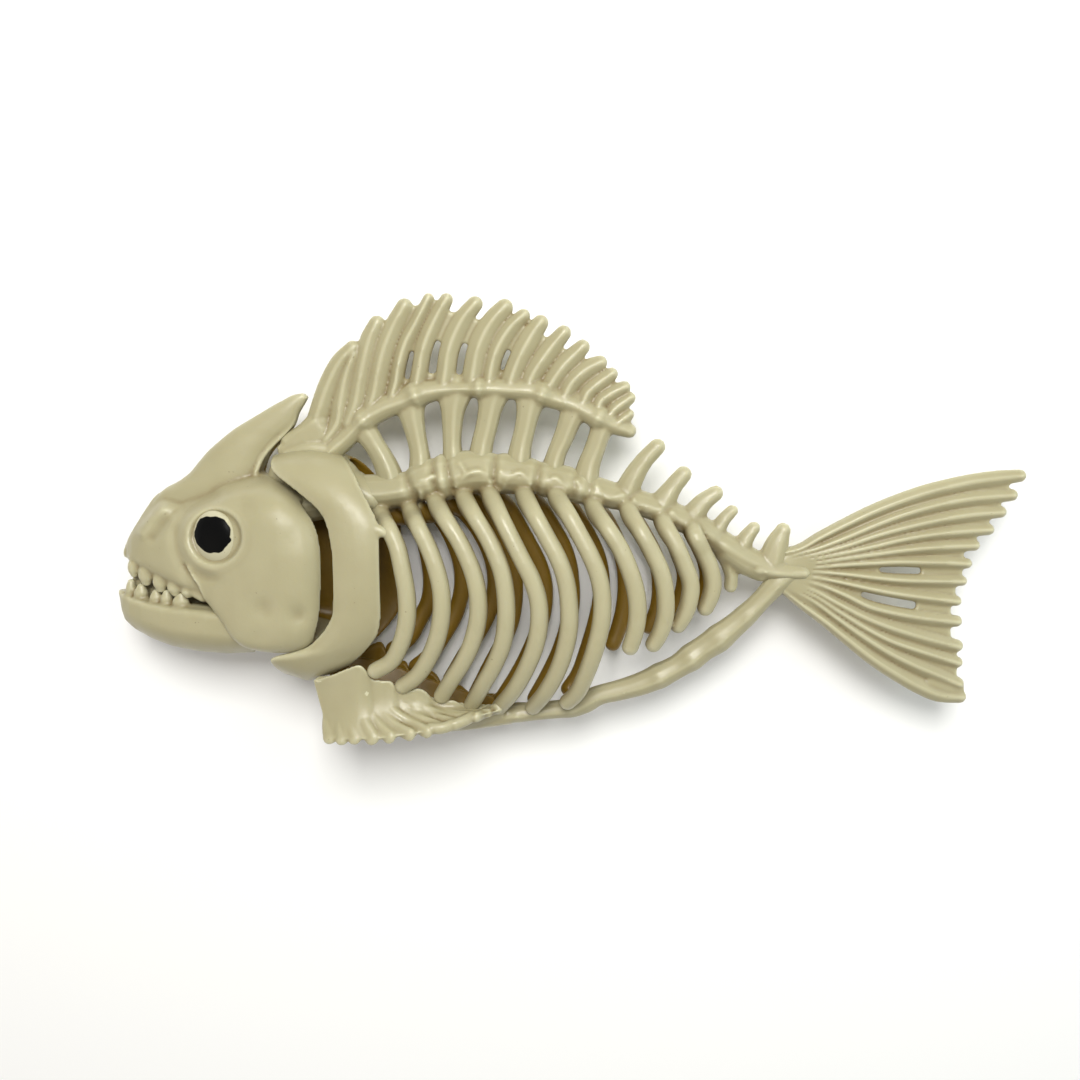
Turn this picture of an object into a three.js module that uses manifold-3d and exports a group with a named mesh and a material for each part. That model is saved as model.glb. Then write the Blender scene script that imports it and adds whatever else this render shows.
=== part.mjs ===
// A decorative fish skeleton, moulded in bone-coloured plastic: skull, open jaw, painted eyes, shoulder collar,
// two rib-cage halves, dorsal fin, breastbone keel, a pair of scalloped pectoral fins and a tail fin.
// Millimetres. The fish lies on its right side: +X runs to the tail, +Y to the back, +Z out of the left flank.
import * as THREE from "three";
import { mergeVertices } from "three/addons/utils/BufferGeometryUtils.js";
import Module from "manifold-3d";

const wasm = await Module();
wasm.setup();

// ---- Driving dimensions ----
const HALF_WIDTH = 26; // from the mid-plane to the flats that the flank rests on
const CLEARANCE = 0.3; // gap between pieces that touch
const MID_GAP = 0.15; // half of the seam between the two rib-cage halves
const FINEST = 0.1; // surface detail below this size is left out
const GRID = 0.01; // corners lie on a grid this fine, so that no facet is a mere sliver
const SHIFT = [5.59, 0.16]; // moves the middle of the fish's outline to the origin

// Side-view sizes are those that an eye above the left flank sees, looking at a spot on the mid-plane: what lies
// nearer to it looks larger. Heights are measured from the mid-plane.
const EYE = new THREE.Vector3(8, 48, 406);
const SPOT = new THREE.Vector3(-13.2, -8.2, 0);
const AHEAD = SPOT.clone().sub(EYE);
const RIGHTWARD = new THREE.Vector3().crossVectors(AHEAD, new THREE.Vector3(0, 1, 0)).normalize();
const UPWARD = new THREE.Vector3().crossVectors(RIGHTWARD, AHEAD).normalize();

/** The point at height z that the eye sees at (x, y). */
function seen(x, y, z = 0) {
  const ray = AHEAD.clone().addScaledVector(RIGHTWARD, x - SPOT.x).addScaledVector(UPWARD, y - SPOT.y);
  return EYE.clone().addScaledVector(ray, (z - EYE.z) / ray.z);
}

/** The height in the side view at which the eye sees a point. */
function seenHeight(x, y, z) {
  const ray = new THREE.Vector3(x, y, z).sub(EYE);
  return SPOT.y + (ray.dot(UPWARD) * AHEAD.lengthSq()) / ray.dot(AHEAD);
}

// ---- Shaping tools ----

/** Straight-line interpolation through [x, value] pairs that run in rising x. */
function profile(pairs) {
  return (x) => {
    const last = pairs.length - 1;
    if (x <= pairs[0][0]) return pairs[0][1];
    if (x >= pairs[last][0]) return pairs[last][1];
    const i = pairs.findIndex((pair) => pair[0] > x) - 1;
    const [[x0, a], [x1, b]] = [pairs[i], pairs[i + 1]];
    return a + ((b - a) * (x - x0)) / (x1 - x0);
  };
}

/** A superellipse's height at distance d from its middle: 1 at d = 0 and 0 at d = 1. */
const bulge = (d, power) => Math.max(0, 1 - Math.abs(d) ** power) ** (1 / power);

/** The closed solid that a three.js geometry bounds. */
function solid(geometry) {
  const bare = geometry.clone();
  bare.deleteAttribute("normal");
  bare.deleteAttribute("uv");
  const merged = mergeVertices(bare, 1e-4);
  const triVerts = new Uint32Array(merged.index.array);
  const vertProperties = new Float32Array(merged.attributes.position.array);
  const made = new wasm.Manifold(new wasm.Mesh({ numProp: 3, vertProperties, triVerts }));
  if (made.volume() > 0) return made;
  for (let i = 0; i < triVerts.length; i += 3) {
    [triVerts[i + 1], triVerts[i + 2]] = [triVerts[i + 2], triVerts[i + 1]];
  }
  return new wasm.Manifold(new wasm.Mesh({ numProp: 3, vertProperties, triVerts }));
}

/** A piece without the loose chips that a cut has left beside it. */
const largest = (piece) => piece.decompose().reduce((a, b) => (a.volume() > b.volume() ? a : b));

/** A geometry with its corners on the grid, less the facets that this closes up. */
function snapped({ vertProperties, triVerts }) {
  const corners = vertProperties.map((value) => Math.round(value / GRID) * GRID);
  const rough = new THREE.BufferGeometry()
    .setAttribute("position", new THREE.BufferAttribute(corners, 3))
    .setIndex(new THREE.BufferAttribute(triVerts, 1));
  const merged = mergeVertices(rough, GRID / 2);
  const facets = [];
  for (let i = 0; i < merged.index.count; i += 3) {
    const facet = [0, 1, 2].map((k) => merged.index.getX(i + k));
    if (new Set(facet).size === 3) facets.push(...facet);
  }
  return merged.setIndex(facets);
}

/** A piece as a three.js geometry, without fine detail, chips or slivers. */
function finished(piece) {
  const fine = snapped(piece.simplify(FINEST).getMesh());
  return snapped(largest(solid(fine)).getMesh());
}

const join = (solids) => solids.reduce((all, next) => all.add(next));

/** Moves every vertex of a geometry with place(x, y, z), which returns a Vector3. */
function mapped(geometry, place) {
  const position = geometry.attributes.position;
  for (let i = 0; i < position.count; i++) {
    const to = place(position.getX(i), position.getY(i), position.getZ(i));
    position.setXYZ(i, to.x, to.y, to.z);
  }
  return solid(geometry);
}

// A blunt tip ends in one ring: this far past the last station and this wide, in half-widths.
const TIP = { past: 0.75, scale: 0.6 };

/**
 * A bone: a cylinder bent along a smooth curve through stations [x, y, z, half-width, half-depth], as seen from
 * the side. Half-depth is across the view, and equals the half-width if it is left out. Tips are rounded.
 */
function bone(stations, { sides = 6, steps = 2, grow = 0, roundStart = false } = {}) {
  const curve = new THREE.CatmullRomCurve3(stations.map(([x, y, z]) => seen(x, y, z)), false, "centripetal");
  const spans = stations.length - 1;
  const rings = [];
  const ringAt = (t, past, scale) => {
    const i = Math.min(Math.floor(t * spans), spans - 1);
    const mix = t * spans - i;
    const size = [3, 4].map((k) => {
      const value = (station) => station[k] ?? station[3];
      return value(stations[i]) * (1 - mix) + value(stations[i + 1]) * mix + grow;
    });
    const along = curve.getTangent(t);
    const across = new THREE.Vector3().crossVectors(along, new THREE.Vector3(0, 0, 1)).normalize();
    const outward = new THREE.Vector3().crossVectors(along, across);
    const centre = curve.getPoint(t).addScaledVector(along, past * size[0]);
    rings.push({ centre, across, outward, width: size[0] * scale, depth: size[1] * scale });
  };
  if (roundStart) ringAt(0, -TIP.past, TIP.scale);
  for (let i = 0; i <= spans * steps; i++) ringAt(i / (spans * steps), 0, 1);
  ringAt(1, TIP.past, TIP.scale);
  const tube = new THREE.CylinderGeometry(1, 1, 1, sides, rings.length - 1);
  return mapped(tube, (x, y, z) => {
    const ring = rings[Math.round((0.5 - y) * (rings.length - 1))];
    return ring.centre.clone().addScaledVector(ring.across, z * ring.width)
      .addScaledVector(ring.outward, x * ring.depth);
  });
}

/** A flat plate about the mid-plane with a closed outline and, where bevel is above 0, bevelled edges. */
function plate(outline, halfThickness, bevel = 0) {
  const geometry = new THREE.ExtrudeGeometry(new THREE.Shape(outline.map(([x, y]) => seen(x, y))), {
    depth: 2 * (halfThickness - bevel), bevelEnabled: bevel > 0, bevelThickness: bevel, bevelSize: bevel,
    bevelOffset: -bevel, bevelSegments: 1,
  });
  geometry.translate(0, 0, bevel - halfThickness);
  return solid(geometry);
}

const mirrored = (piece) => piece.mirror([0, 0, 1]);

// ---- Rib-cage halves: the vertebral column with its ribs and prongs, parted at the mid-plane ----
const COLUMN = [
  [-116, 4, 0, 8, 9], [-100, 8, 0, 8, 9], [-85, 10.5, 0, 7.5, 8.5], [-66, 12.5, 0, 7, 8], [-60, 15.5, 0, 8, 9],
  [-50, 17, 0, 9.3, 9], [-36, 18.8, 0, 8.3, 8.5], [-20, 17.5, 0, 7.6, 8], [-5, 15, 0, 7, 7.5],
  [10, 11, 0, 5.9, 7], [25, 7, 0, 5, 6], [40, 1.8, 0, 5.3, 6], [52, -4, 0, 5.2, 5.6], [64, -12.5, 0, 5.6, 5.4],
  [74, -17.5, 0, 5.2, 5], [91, -20.8, 0, 3.8, 4.6],
];
const RIB_HALF_WIDTH = 3.4;
const RIB_HALF_DEPTH = 3.6;
const RIB_ROOT_OUT = 4; // a rib starts this far inside the column, out from the mid-plane
const CAGE = { middle: -30, half: 46, power: 2.3 }; // the rib cage's oval section, by height

// Each rib: half-breadth of the cage at its middle, then its centreline in the side view from root to tip.
const RIBS = [
  [23, [-77, 8], [-70.6, -10], [-66.8, -27], [-67, -42], [-70.5, -53], [-79, -60.5]],
  [23, [-66.5, 8.5], [-58.3, -11], [-53, -27], [-52.7, -40], [-57, -54], [-68, -66.5]],
  [23, [-56.5, 11], [-46, -8], [-39.3, -24], [-38, -38], [-42, -53], [-52.5, -70.5]],
  [23, [-45.5, 13], [-34.8, -6.5], [-28.3, -22], [-27, -38], [-31, -56], [-41, -74.5]],
  [23, [-35, 14], [-24, -9], [-16, -25], [-13.6, -41], [-18.5, -59], [-30, -75.5]],
  [23, [-21.5, 14], [-9.8, -8], [-3, -24], [-1.5, -41], [-6.5, -61], [-17, -74.5]],
  [23, [-9, 13.5], [2.6, -6], [10, -22], [11.5, -39], [5.5, -61], [-2.3, -73]],
  [20.5, [7, 8], [18.5, -11], [25.2, -28], [25.5, -40], [22.5, -51.8]],
  [16.5, [21, 5], [31.5, -13], [37, -30], [35, -43], [31.7, -50.5]],
  [12, [35, 0.5], [43.5, -15], [47.2, -26], [45.5, -35], [41.8, -42.7]],
  [8, [47, -3], [53.6, -15], [55.8, -25], [54.5, -32], [52.5, -36.3]],
];

// On the right the first three ribs lean back in their upper half, and the eighth is longer.
const RIGHT_LEAN = 2.6;
const LONG_EIGHTH = [20.5, [7, 8], [17, -11], [22.3, -28], [21.8, -42], [17, -59]];
const leaning = ([breadth, root, ...line]) => [
  breadth, root, ...line.map(([x, y]) => [x + RIGHT_LEAN * bulge(Math.min(1, (y + 20) / 30), 2), y]),
];
const RIGHT_RIBS = RIBS.map((line, i) => (i < 3 ? leaning(line) : line)).with(7, LONG_EIGHTH);

// Prongs above and below the column, in the mid-plane.
const PRONGS = [
  [[21, 11, 0, 5], [26, 20, 0, 4.2], [30.5, 26, 0, 3.5], [34.2, 29.4, 0, 3.1]],
  [[36, 8, 0, 4.8], [40.5, 14, 0, 3.7], [44.6, 18.4, 0, 3.3]],
  [[48, 2.5, 0, 4.3], [53, 8, 0, 3.6], [57.6, 11, 0, 3]],
  [[57.5, -3.5, 0, 3.1], [61.5, 1.2, 0, 2.7], [64, 3.6, 0, 2.5]],
  [[66.5, -12, 0, 3.8], [70.6, -5.4, 0, 2.9], [72.6, -3.4, 0, 2.5]],
  [[79.5, -16, 0, 5.6], [82.3, -7.5, 0, 4.2], [84.2, -4.4, 0, 3]],
  [[60.5, -13, 0, 3.4], [62.8, -19, 0, 2.9], [63.1, -26.9, 0, 2.8]],
  [[64, -14, 0, 5.5], [71, -18.5, 0, 5.2], [76, -21.5, 0, 4]],
];

/** One rib of the left side: it leaves the column's side, bulges with the cage's oval and comes in to the keel. */
function rib([breadth, ...line], grow) {
  return bone(line.map(([x, y], i) => {
    const out = i === 0 ? RIB_ROOT_OUT : breadth * bulge((y - CAGE.middle) / CAGE.half, CAGE.power);
    return [x, y, out, RIB_HALF_WIDTH, RIB_HALF_DEPTH];
  }), { sides: 6, steps: 1, grow, roundStart: true });
}

/** One half of the cage with the given ribs, modelled on the left side. */
function cage(lines, grow = 0) {
  const column = bone(COLUMN, { sides: 8, steps: 1, grow, roundStart: true });
  const prongs = PRONGS.map((stations) => bone(stations, { grow, steps: 1 }));
  const ribs = lines.map((each) => rib(each, grow));
  return join([column, ...prongs, ...ribs]);
}

// ---- Dorsal fin: a jointed bar on struts, with a fan of rays joined by a web ----
const BAR = [
  [-99, 25.5, 0, 4, 4.5], [-91, 32, 0, 3.8, 4], [-81, 41.2, 0, 4.3, 4.3], [-70, 46.8, 0, 4, 4.2],
  [-61, 50.6, 0, 4.4, 4.4], [-50, 52.2, 0, 3, 3.6], [-36, 52.4, 0, 3.6, 4], [-14, 51.3, 0, 4.4, 4.2],
  [0, 46.4, 0, 3.4, 3.8], [9, 41.5, 0, 4.2, 4], [23, 35.6, 0, 2.5, 3],
];
const STRUTS = [
  [[-85, 36, 0, 4.6], [-78.5, 27.5, 0, 3.8], [-73, 17, 0, 4.6]],
  [[-65, 46, 0, 5.5], [-62.6, 35, 0, 3.6], [-60.8, 21, 0, 4.2]],
  [[-47.5, 50, 0, 5.6], [-48.4, 37, 0, 3.6], [-48, 24, 0, 3.9]],
  [[-32.5, 50, 0, 4.8], [-34.8, 37, 0, 4], [-37, 25, 0, 4.2]],
  [[-16.5, 49, 0, 5.2], [-19.7, 34, 0, 3.7], [-21.8, 22, 0, 4.8]],
  [[1, 43, 0, 4.9], [-4.2, 32, 0, 3.6], [-8, 20, 0, 4.4]],
  [[12, 38, 0, 4.2], [8.4, 28, 0, 3.8], [5.2, 16, 0, 4.8]],
];
const RAY_SECTION = [3.1, 2.8]; // half-width and half-depth of a ray, which is ridged on both faces
// Each ray's centreline, from the bar to the middle of its round tip.
const RAYS = [
  [[-103, 36], [-98.6, 51], [-92, 64], [-87.5, 69.5]],
  [[-94, 36], [-91.4, 50], [-87, 66]],
  [[-87, 41], [-84.5, 56], [-81.5, 69], [-78, 79]],
  [[-80, 46], [-78, 58], [-74, 72], [-66.7, 85.6]],
  [[-71, 50], [-69.4, 60], [-65, 74], [-57.4, 88.2]],
  [[-62, 54], [-60.6, 65], [-57, 76], [-50.7, 87.6]],
  [[-51, 54], [-50, 65], [-46, 76.5], [-39.3, 86]],
  [[-40, 54], [-38.4, 66], [-34.2, 76], [-27, 85.3]],
  [[-32.5, 54], [-31.3, 65], [-26.5, 75], [-19.6, 81.8]],
  [[-24.5, 54], [-21.2, 64], [-17, 72.5], [-12.7, 79]],
  [[-17, 53], [-11.5, 64.5], [-3.2, 75.2]],
  [[-9.5, 51], [-4, 61], [4.4, 69]],
  [[-2.5, 48], [3.5, 57.5], [11.4, 62.4]],
  [[5, 46], [9.5, 53], [16, 57.8]],
  [[11, 43], [15.5, 48.5], [21.4, 52.3]],
  [[15, 40], [19, 44.5], [23.2, 48.4]],
];
const DORSAL_WEB = [
  [-117, 27], [-119, 29.5], [-114, 35], [-110, 38.8], [-104.5, 42], [-100, 55], [-95, 64.5], [-90, 70.3],
  [-84.6, 72], [-74.5, 80], [-63.5, 86.3], [-54.4, 88.3], [-47, 83], [-39, 80], [-27.6, 80.3], [-19, 77],
  [-10.6, 73.5], [-4, 68.3], [4.4, 62.8], [11.5, 59.6], [15.8, 53.4], [21.8, 49], [24, 45], [22.4, 40], [12, 40],
  [0, 46], [-14, 51], [-40, 52], [-62, 50], [-80, 41], [-97, 27],
];
const DORSAL_SLOTS = [
  [[-65.9, 56.6, 0, 0.8, 4], [-64.3, 66.8, 0, 0.7, 4]],
  [[-56.9, 59.2, 0, 1.2, 4], [-53.8, 70.5, 0, 1, 4]],
  [[-46.2, 58.8, 0, 1.3, 4], [-43.3, 69.3, 0, 1.1, 4]],
  [[-28.7, 59.3, 0, 0.9, 4], [-26.2, 66.6, 0, 1, 4]],
];

function dorsalFin() {
  const bar = bone(BAR, { sides: 6, steps: 1 });
  const struts = STRUTS.map((stations) => bone(stations, { steps: 1 }));
  const rays = RAYS.map((line) => bone(line.map(([x, y]) => [x, y, 0, ...RAY_SECTION]), { sides: 4, steps: 1 }));
  const slotted = join([plate(DORSAL_WEB, 1.6), ...rays]);
  const slots = DORSAL_SLOTS.map((slot) => bone(slot, { sides: 6, steps: 1, roundStart: true }));
  return join([slotted.subtract(join(slots)), bar, ...struts]);
}

// ---- Shoulder collar: a broad hoop round the neck, with the nape block that carries it on the column ----
const COLLAR_MIDDLE = -92; // how far along the fish the hoop stands
const HOOP = { top: 27.7, bottom: -66.3, power: 2.5, halfThickness: 1.9, reach: HALF_WIDTH + 0.8 };
// The hoop's front and rear edges in the side view, by height.
const COLLAR_FRONT = profile([
  [-64, -110], [-61, -118], [-57, -121.5], [-54, -118], [-51.5, -106], [-46, -100.5], [-37, -96.2], [-20, -96.3],
  [-8, -97.3], [0, -99.8], [6, -104.5], [12, -112], [17, -118], [21, -121.8], [28, -119],
]);
const COLLAR_REAR = profile([
  [-64, -103], [-60, -92], [-55, -85], [-49, -80], [-40, -77], [-20, -77.3], [-4, -77.6], [3, -80], [10, -84],
  [17, -87], [24, -90.5], [28, -94],
]);

function collar(grow = 0) {
  const middle = (HOOP.top + HOOP.bottom) / 2;
  const half = (HOOP.top - HOOP.bottom) / 2;
  const ring = new THREE.TorusGeometry(2, 1, 8, 28);
  const hoop = mapped(ring, (x, y, z) => {
    const turn = Math.atan2(y, x);
    const around = Math.hypot(x, y) - 2; // across the wall, from -1 to 1
    const [c, s] = [Math.cos(turn), Math.sin(turn)];
    const squared = (value) => Math.sign(value) * Math.abs(value) ** (2 / HOOP.power);
    const wall = HOOP.halfThickness + grow;
    const up = squared(s) * (half - HOOP.halfThickness + around * wall);
    const out = squared(c) * (HOOP.reach - HOOP.halfThickness + around * wall);
    const height = middle + up;
    const level = seenHeight(COLLAR_MIDDLE, height, Math.abs(out));
    const [front, rear] = [COLLAR_FRONT(level) - grow, COLLAR_REAR(level) + grow];
    const along = (front + rear) / 2 + (z * (rear - front)) / 2;
    const at = seen(along, level, Math.abs(out));
    return new THREE.Vector3(at.x, height, out);
  });
  const nape = bone([[-112, 16, 0, 9 + grow, 6 + grow], [-98, 17, 0, 9 + grow, 6 + grow]], { roundStart: true });
  return hoop.add(nape);
}

// ---- Keel: the chest trough under the rib tips, and the jointed bar that runs up to the tail ----
const KEEL_BAR = [
  [-42, -79, 0, 4.2, 5], [-22, -77.3, 0, 4.3, 4.6], [-10, -75.8, 0, 3.9, 4.2], [0, -74.8, 0, 4.2, 4.6],
  [10, -70.2, 0, 4.3, 4.4], [22, -67, 0, 4.5, 4.4], [34, -62.6, 0, 5, 4.8], [42, -58.6, 0, 4.6, 4.5],
  [49, -53.5, 0, 5.8, 5], [57, -48.3, 0, 5.6, 4.8], [64, -42.6, 0, 5.2, 4.6], [71, -36.6, 0, 4.2, 4.4],
  [76.5, -30.8, 0, 4, 4.2], [82, -25, 0, 4.6, 4.4],
];
const TROUGH = { front: -103, rear: -28, wall: 1.6 };
const CHEST_RIM = profile([[-104, -63], [-90, -61.5], [-75, -65], [-60, -70], [-45, -74], [-28, -76]]);
const CHEST_HALF = profile([[-104, 13], [-90, 16], [-75, 14.5], [-60, 12.5], [-45, 9.5], [-28, 5.5]]);
const CHEST_FLOOR = profile([[-104, -71], [-90, -78], [-75, -84.5], [-60, -88.4], [-45, -86.6], [-28, -83.2]]);

function keel(grow = 0) {
  const wall = TROUGH.wall + grow;
  const trough = mapped(new THREE.BoxGeometry(2, 2, 2, 8, 1, 6), (u, v, w) => {
    const x = TROUGH.front + ((TROUGH.rear - TROUGH.front) * (u + 1)) / 2 + u * grow;
    const lift = Math.abs(w) ** 2.2;
    const y = CHEST_FLOOR(x) + (CHEST_RIM(x) - CHEST_FLOOR(x)) * lift;
    const lean = 0.85 * w; // the wall turns outwards towards the rim
    const z = w * (CHEST_HALF(x) + grow);
    const rim = 2 * grow * Math.abs(w) ** 9;
    return new THREE.Vector3(x, y + rim + v * wall * (1 - 0.55 * lean * lean), z - v * wall * lean);
  });
  const bar = bone(KEEL_BAR, { sides: 8, steps: 1, grow });
  return trough.add(bar);
}

// ---- Pectoral fins: a pair of flared, scalloped fans on the chest ----
const FIN_ROOT = [
  [-102.5, -64.5, 13], [-95, -62, 16.5], [-86, -58, 19.5], [-78, -64, 16.5], [-68, -69, 14.5], [-58, -70.5, 12.5],
  [-48, -72.5, 10.5], [-38, -76, 8], [-29, -77, 6.5],
];
const FIN_RIM = [
  [-98, -87.5, 21], [-92.5, -89.2, 23.5], [-84.5, -89.5, 24.5], [-76, -89, 24.5], [-66.5, -87.5, 23.5],
  [-56.5, -86, 22], [-48, -83.5, 20], [-38, -80, 16.5], [-27, -76.5, 11],
];
const FIN_HALF_THICKNESS = 1.05;
const FIN_HOLLOW = 2.5;

// Along the rim a column of the sheet is, in turn, a valley between two lobes, and the crown of a lobe.
const LOBE_COLUMNS = [{ reach: 0.93, swell: -0.15 }, { reach: 1.02, swell: 0.8 }];
const SMOOTH_SHARE = 0.45; // the fin is a smooth plate this far out from its root

function pectoralFin() {
  const spans = FIN_ROOT.length - 1;
  const columns = spans * LOBE_COLUMNS.length;
  const at = (line, t) => {
    const i = Math.min(Math.floor(t), spans - 1);
    return seen(...line[i]).lerp(seen(...line[i + 1]), t - i);
  };
  return mapped(new THREE.BoxGeometry(2, 2, 2, columns, 2, 1), (u, v, w) => {
    const column = Math.round(((u + 1) / 2) * columns);
    const { reach, swell } = LOBE_COLUMNS[column % LOBE_COLUMNS.length];
    const share = (1 - v) / 2; // 0 at the root and 1 at the rim
    const t = column / LOBE_COLUMNS.length;
    const place = at(FIN_ROOT, t).lerp(at(FIN_RIM, t), share * (share > SMOOTH_SHARE ? reach : 1));
    const hollow = FIN_HOLLOW * Math.sin(Math.PI * share);
    const half = w * (FIN_HALF_THICKNESS + (share > SMOOTH_SHARE ? swell : 0));
    return place.add(new THREE.Vector3(0, 0.5 * half - 0.35 * hollow, half - hollow));
  });
}

// ---- Tail fin: a forked web stiffened by a fan of rays ----
const TAIL_WEB = [
  [80, -16], [88, -9.5], [98, -4.2], [108, 1.2], [118, 5.8], [130, 10.2], [143, 14.3], [158, 18.2], [170, 19.5],
  [179, 19.6], [181.6, 18], [180, 15.8], [174.6, 13.2], [178, 10.4], [176.5, 8], [171, 5.8], [173.7, 3.2],
  [172, 0.8], [166.8, -1.2], [168.8, -3.8], [167, -5.8], [162, -7.6], [163, -10.4], [160.5, -12.6],
  [156, -14.2], [160.3, -17.4], [159, -19.6], [156, -21.2], [158, -24.2], [156.5, -26.8], [152.6, -28.8],
  [156, -32.6], [154.5, -35], [150.8, -36.8], [156, -40.6], [154.5, -43], [150.9, -45.4], [155.8, -50],
  [156, -52], [154.3, -53.6], [156.2, -56.4], [155.5, -58.6], [153.3, -60.8], [156.2, -65], [157.4, -70],
  [156.6, -73], [154, -74.4], [146, -73.4], [136, -69.6], [124, -62.2], [112, -53], [100, -43.6], [90, -36.4],
  [82, -32], [78, -26],
];
const TAIL_SLOTS = [
  [[123, -20.4, 0, 1, 4], [131, -20.4, 0, 1.2, 4], [138.6, -20.7, 0, 0.9, 4]],
  [[115.8, -30, 0, 0.9, 4], [126, -33, 0, 1.2, 4], [136.3, -33.6, 0, 1, 4]],
];
const TAIL_ROOT = [90, -20];
// Each tail ray: the middle of its course, and the middle of its round tip.
const TAIL_RAYS = [
  [[130, 6], [179, 17.8]], [[133, -0.5], [175.3, 10.2]], [[132, -5], [171, 3.2]], [[130, -9.5], [166.4, -3.8]],
  [[128, -13], [160.4, -10.2]], [[126, -17], [157.6, -17.4]], [[124, -24.4], [155.4, -24.6]],
  [[126, -28.6], [153.2, -32.4]], [[124, -35.6], [153.2, -40.4]], [[122, -41], [153.2, -50.2]],
  [[121, -46.4], [153.4, -56.8]], [[120, -53], [153.6, -70]],
];
const TAIL_RAY_HALF_WIDTH = 2.3;

function tailFin() {
  const rays = TAIL_RAYS.map(([middle, tip]) => bone([
    [...TAIL_ROOT, 0, 1.6, 3.6], [...middle, 0, TAIL_RAY_HALF_WIDTH, 2.6], [...tip, 0, TAIL_RAY_HALF_WIDTH, 1.7],
  ], { sides: 4, steps: 1 }));
  const root = bone([[83, -21, 0, 9, 4.4], [94, -20.5, 0, 7, 3.8]], { sides: 8, steps: 1 });
  const slots = TAIL_SLOTS.map((slot) => bone(slot, { sides: 6, steps: 1, roundStart: true }));
  return join([plate(TAIL_WEB, 1.5), root, ...rays]).subtract(join(slots));
}

// ---- Skull: braincase, crest, cheek plates and upper teeth ----
const HEAD_HALF = profile([
  [-181, 2.5], [-178, 6], [-174, 8.8], [-168, 11.8], [-160, 14.8], [-150, 18], [-140, 21], [-130, 24],
  [-120, 26.3], [-110, 27.2], [-95, 27.4],
]);
const BROW = profile([[-175, -4], [-165, 5], [-155, 8], [-147, 11.5], [-138, 15], [-120, 18]]);
const HEAD_MIDDLE = [-133, -13];
// The skull's outline as [x, y, height of its edge, squareness of its section].
const HEAD_OUTLINE = [
  [-101.3, -28, 22, 7], [-101.8, -12, 22, 7], [-105, -1, 21, 6], [-111, 8, 18, 5], [-118, 14.5, 13, 3.4],
  [-126, 19, 8, 2.6], [-137, 22, 4, 2.2], [-148, 21.5, 2, 2], [-155, 16.2, 2, 2], [-161, 13.6, 2, 2],
  [-167.2, 10, 2, 2.2], [-171, 4.5, 2, 2.4], [-174.6, -3, 2, 2.6], [-178, -10, 2, 2.8], [-179, -15, 3, 3],
  [-175.5, -18.2, 7, 6], [-168, -22.4, 11, 7], [-160, -26.6, 14, 7], [-152, -29.8, 16, 7], [-146, -34.6, 18, 7],
  [-141, -42, 20, 7], [-136, -49, 21, 7], [-130, -53, 22, 7], [-121, -54.6, 22, 7], [-112, -53.8, 22, 7],
  [-106, -49.6, 22, 7], [-102.4, -41, 22, 7],
];
const CREST = [
  [-157, 10], [-155, 16], [-150, 20.6], [-145, 26.6], [-139, 33.4], [-130, 40], [-120, 45.8], [-112.5, 50],
  [-108.5, 50.7], [-106.2, 49.2], [-106.8, 46.6], [-109, 43], [-110.3, 39.6], [-114, 35], [-119.5, 29],
  [-122.6, 24], [-124.5, 18], [-130, 12],
];
const EYEBALL = { x: -143.3, y: -7.2, z: 17.6, radius: 8.8, tall: 9.3, depth: 5 };
const GUM = [
  [-177, -29], [-176.5, -20], [-168, -23.5], [-158, -28.5], [-149, -33.5], [-143, -40], [-160, -42],
]; // the wall behind the teeth, in the mid-plane
// Teeth along one side of each jaw: x, y of the root, y of the tip, half-width.
const UPPER_TEETH = [
  [-177.6, -14, -20.5, 1.5], [-175, -15.5, -22.2, 1.7], [-170.6, -18, -24.6, 2], [-164.8, -20.5, -27.6, 2.1],
  [-158.5, -23.5, -30, 2.2], [-152.6, -26, -31, 1.7],
];
const LOWER_TEETH = [
  [-177, -30.5, -25, 1.7], [-172.9, -32, -27, 2], [-167, -33.6, -29, 1.9], [-162.4, -34.4, -29.4, 1.6],
  [-155.5, -35, -31, 2],
];
const TOOTH_INSET = 2.6; // how far inside the lip a tooth row stands

function toothRow(teeth) {
  return teeth.flatMap(([x, root, tip, halfWidth]) => {
    const out = HEAD_HALF(x) - TOOTH_INSET;
    const tooth = bone([[x, root, out, halfWidth], [x, tip, out, 0.5 * halfWidth]], { sides: 5, steps: 1 });
    return [tooth, mirrored(tooth)];
  });
}

function braincase() {
  const globe = new THREE.SphereGeometry(1, HEAD_OUTLINE.length, 12).rotateX(Math.PI / 2);
  const middle = seen(...HEAD_MIDDLE, 0);
  return mapped(globe, (x, y, z) => {
    const turn = (Math.atan2(y, x) / (2 * Math.PI) + 1) % 1;
    const [ox, oy, edge, power] = HEAD_OUTLINE[Math.round(turn * HEAD_OUTLINE.length) % HEAD_OUTLINE.length];
    const reach = Math.hypot(x, y) ** (2 / power);
    const rise = Math.sign(z) * Math.abs(z) ** (2 / power);
    const at = middle.clone().lerp(seen(ox, oy, edge), reach);
    const aboveBrow = THREE.MathUtils.smoothstep(at.y - BROW(at.x), -2, 8);
    return new THREE.Vector3(at.x, at.y, rise * HEAD_HALF(at.x) * (1 - 0.55 * aboveBrow));
  });
}

function eyeball(grow = 0) {
  const globe = new THREE.SphereGeometry(1, 12, 6).rotateX(Math.PI / 2);
  const at = seen(EYEBALL.x, EYEBALL.y, EYEBALL.z);
  return mapped(globe, (x, y, z) => new THREE.Vector3(at.x + x * (EYEBALL.radius + grow),
    at.y + y * (EYEBALL.tall + grow), at.z + z * (EYEBALL.depth + grow)));
}

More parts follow.
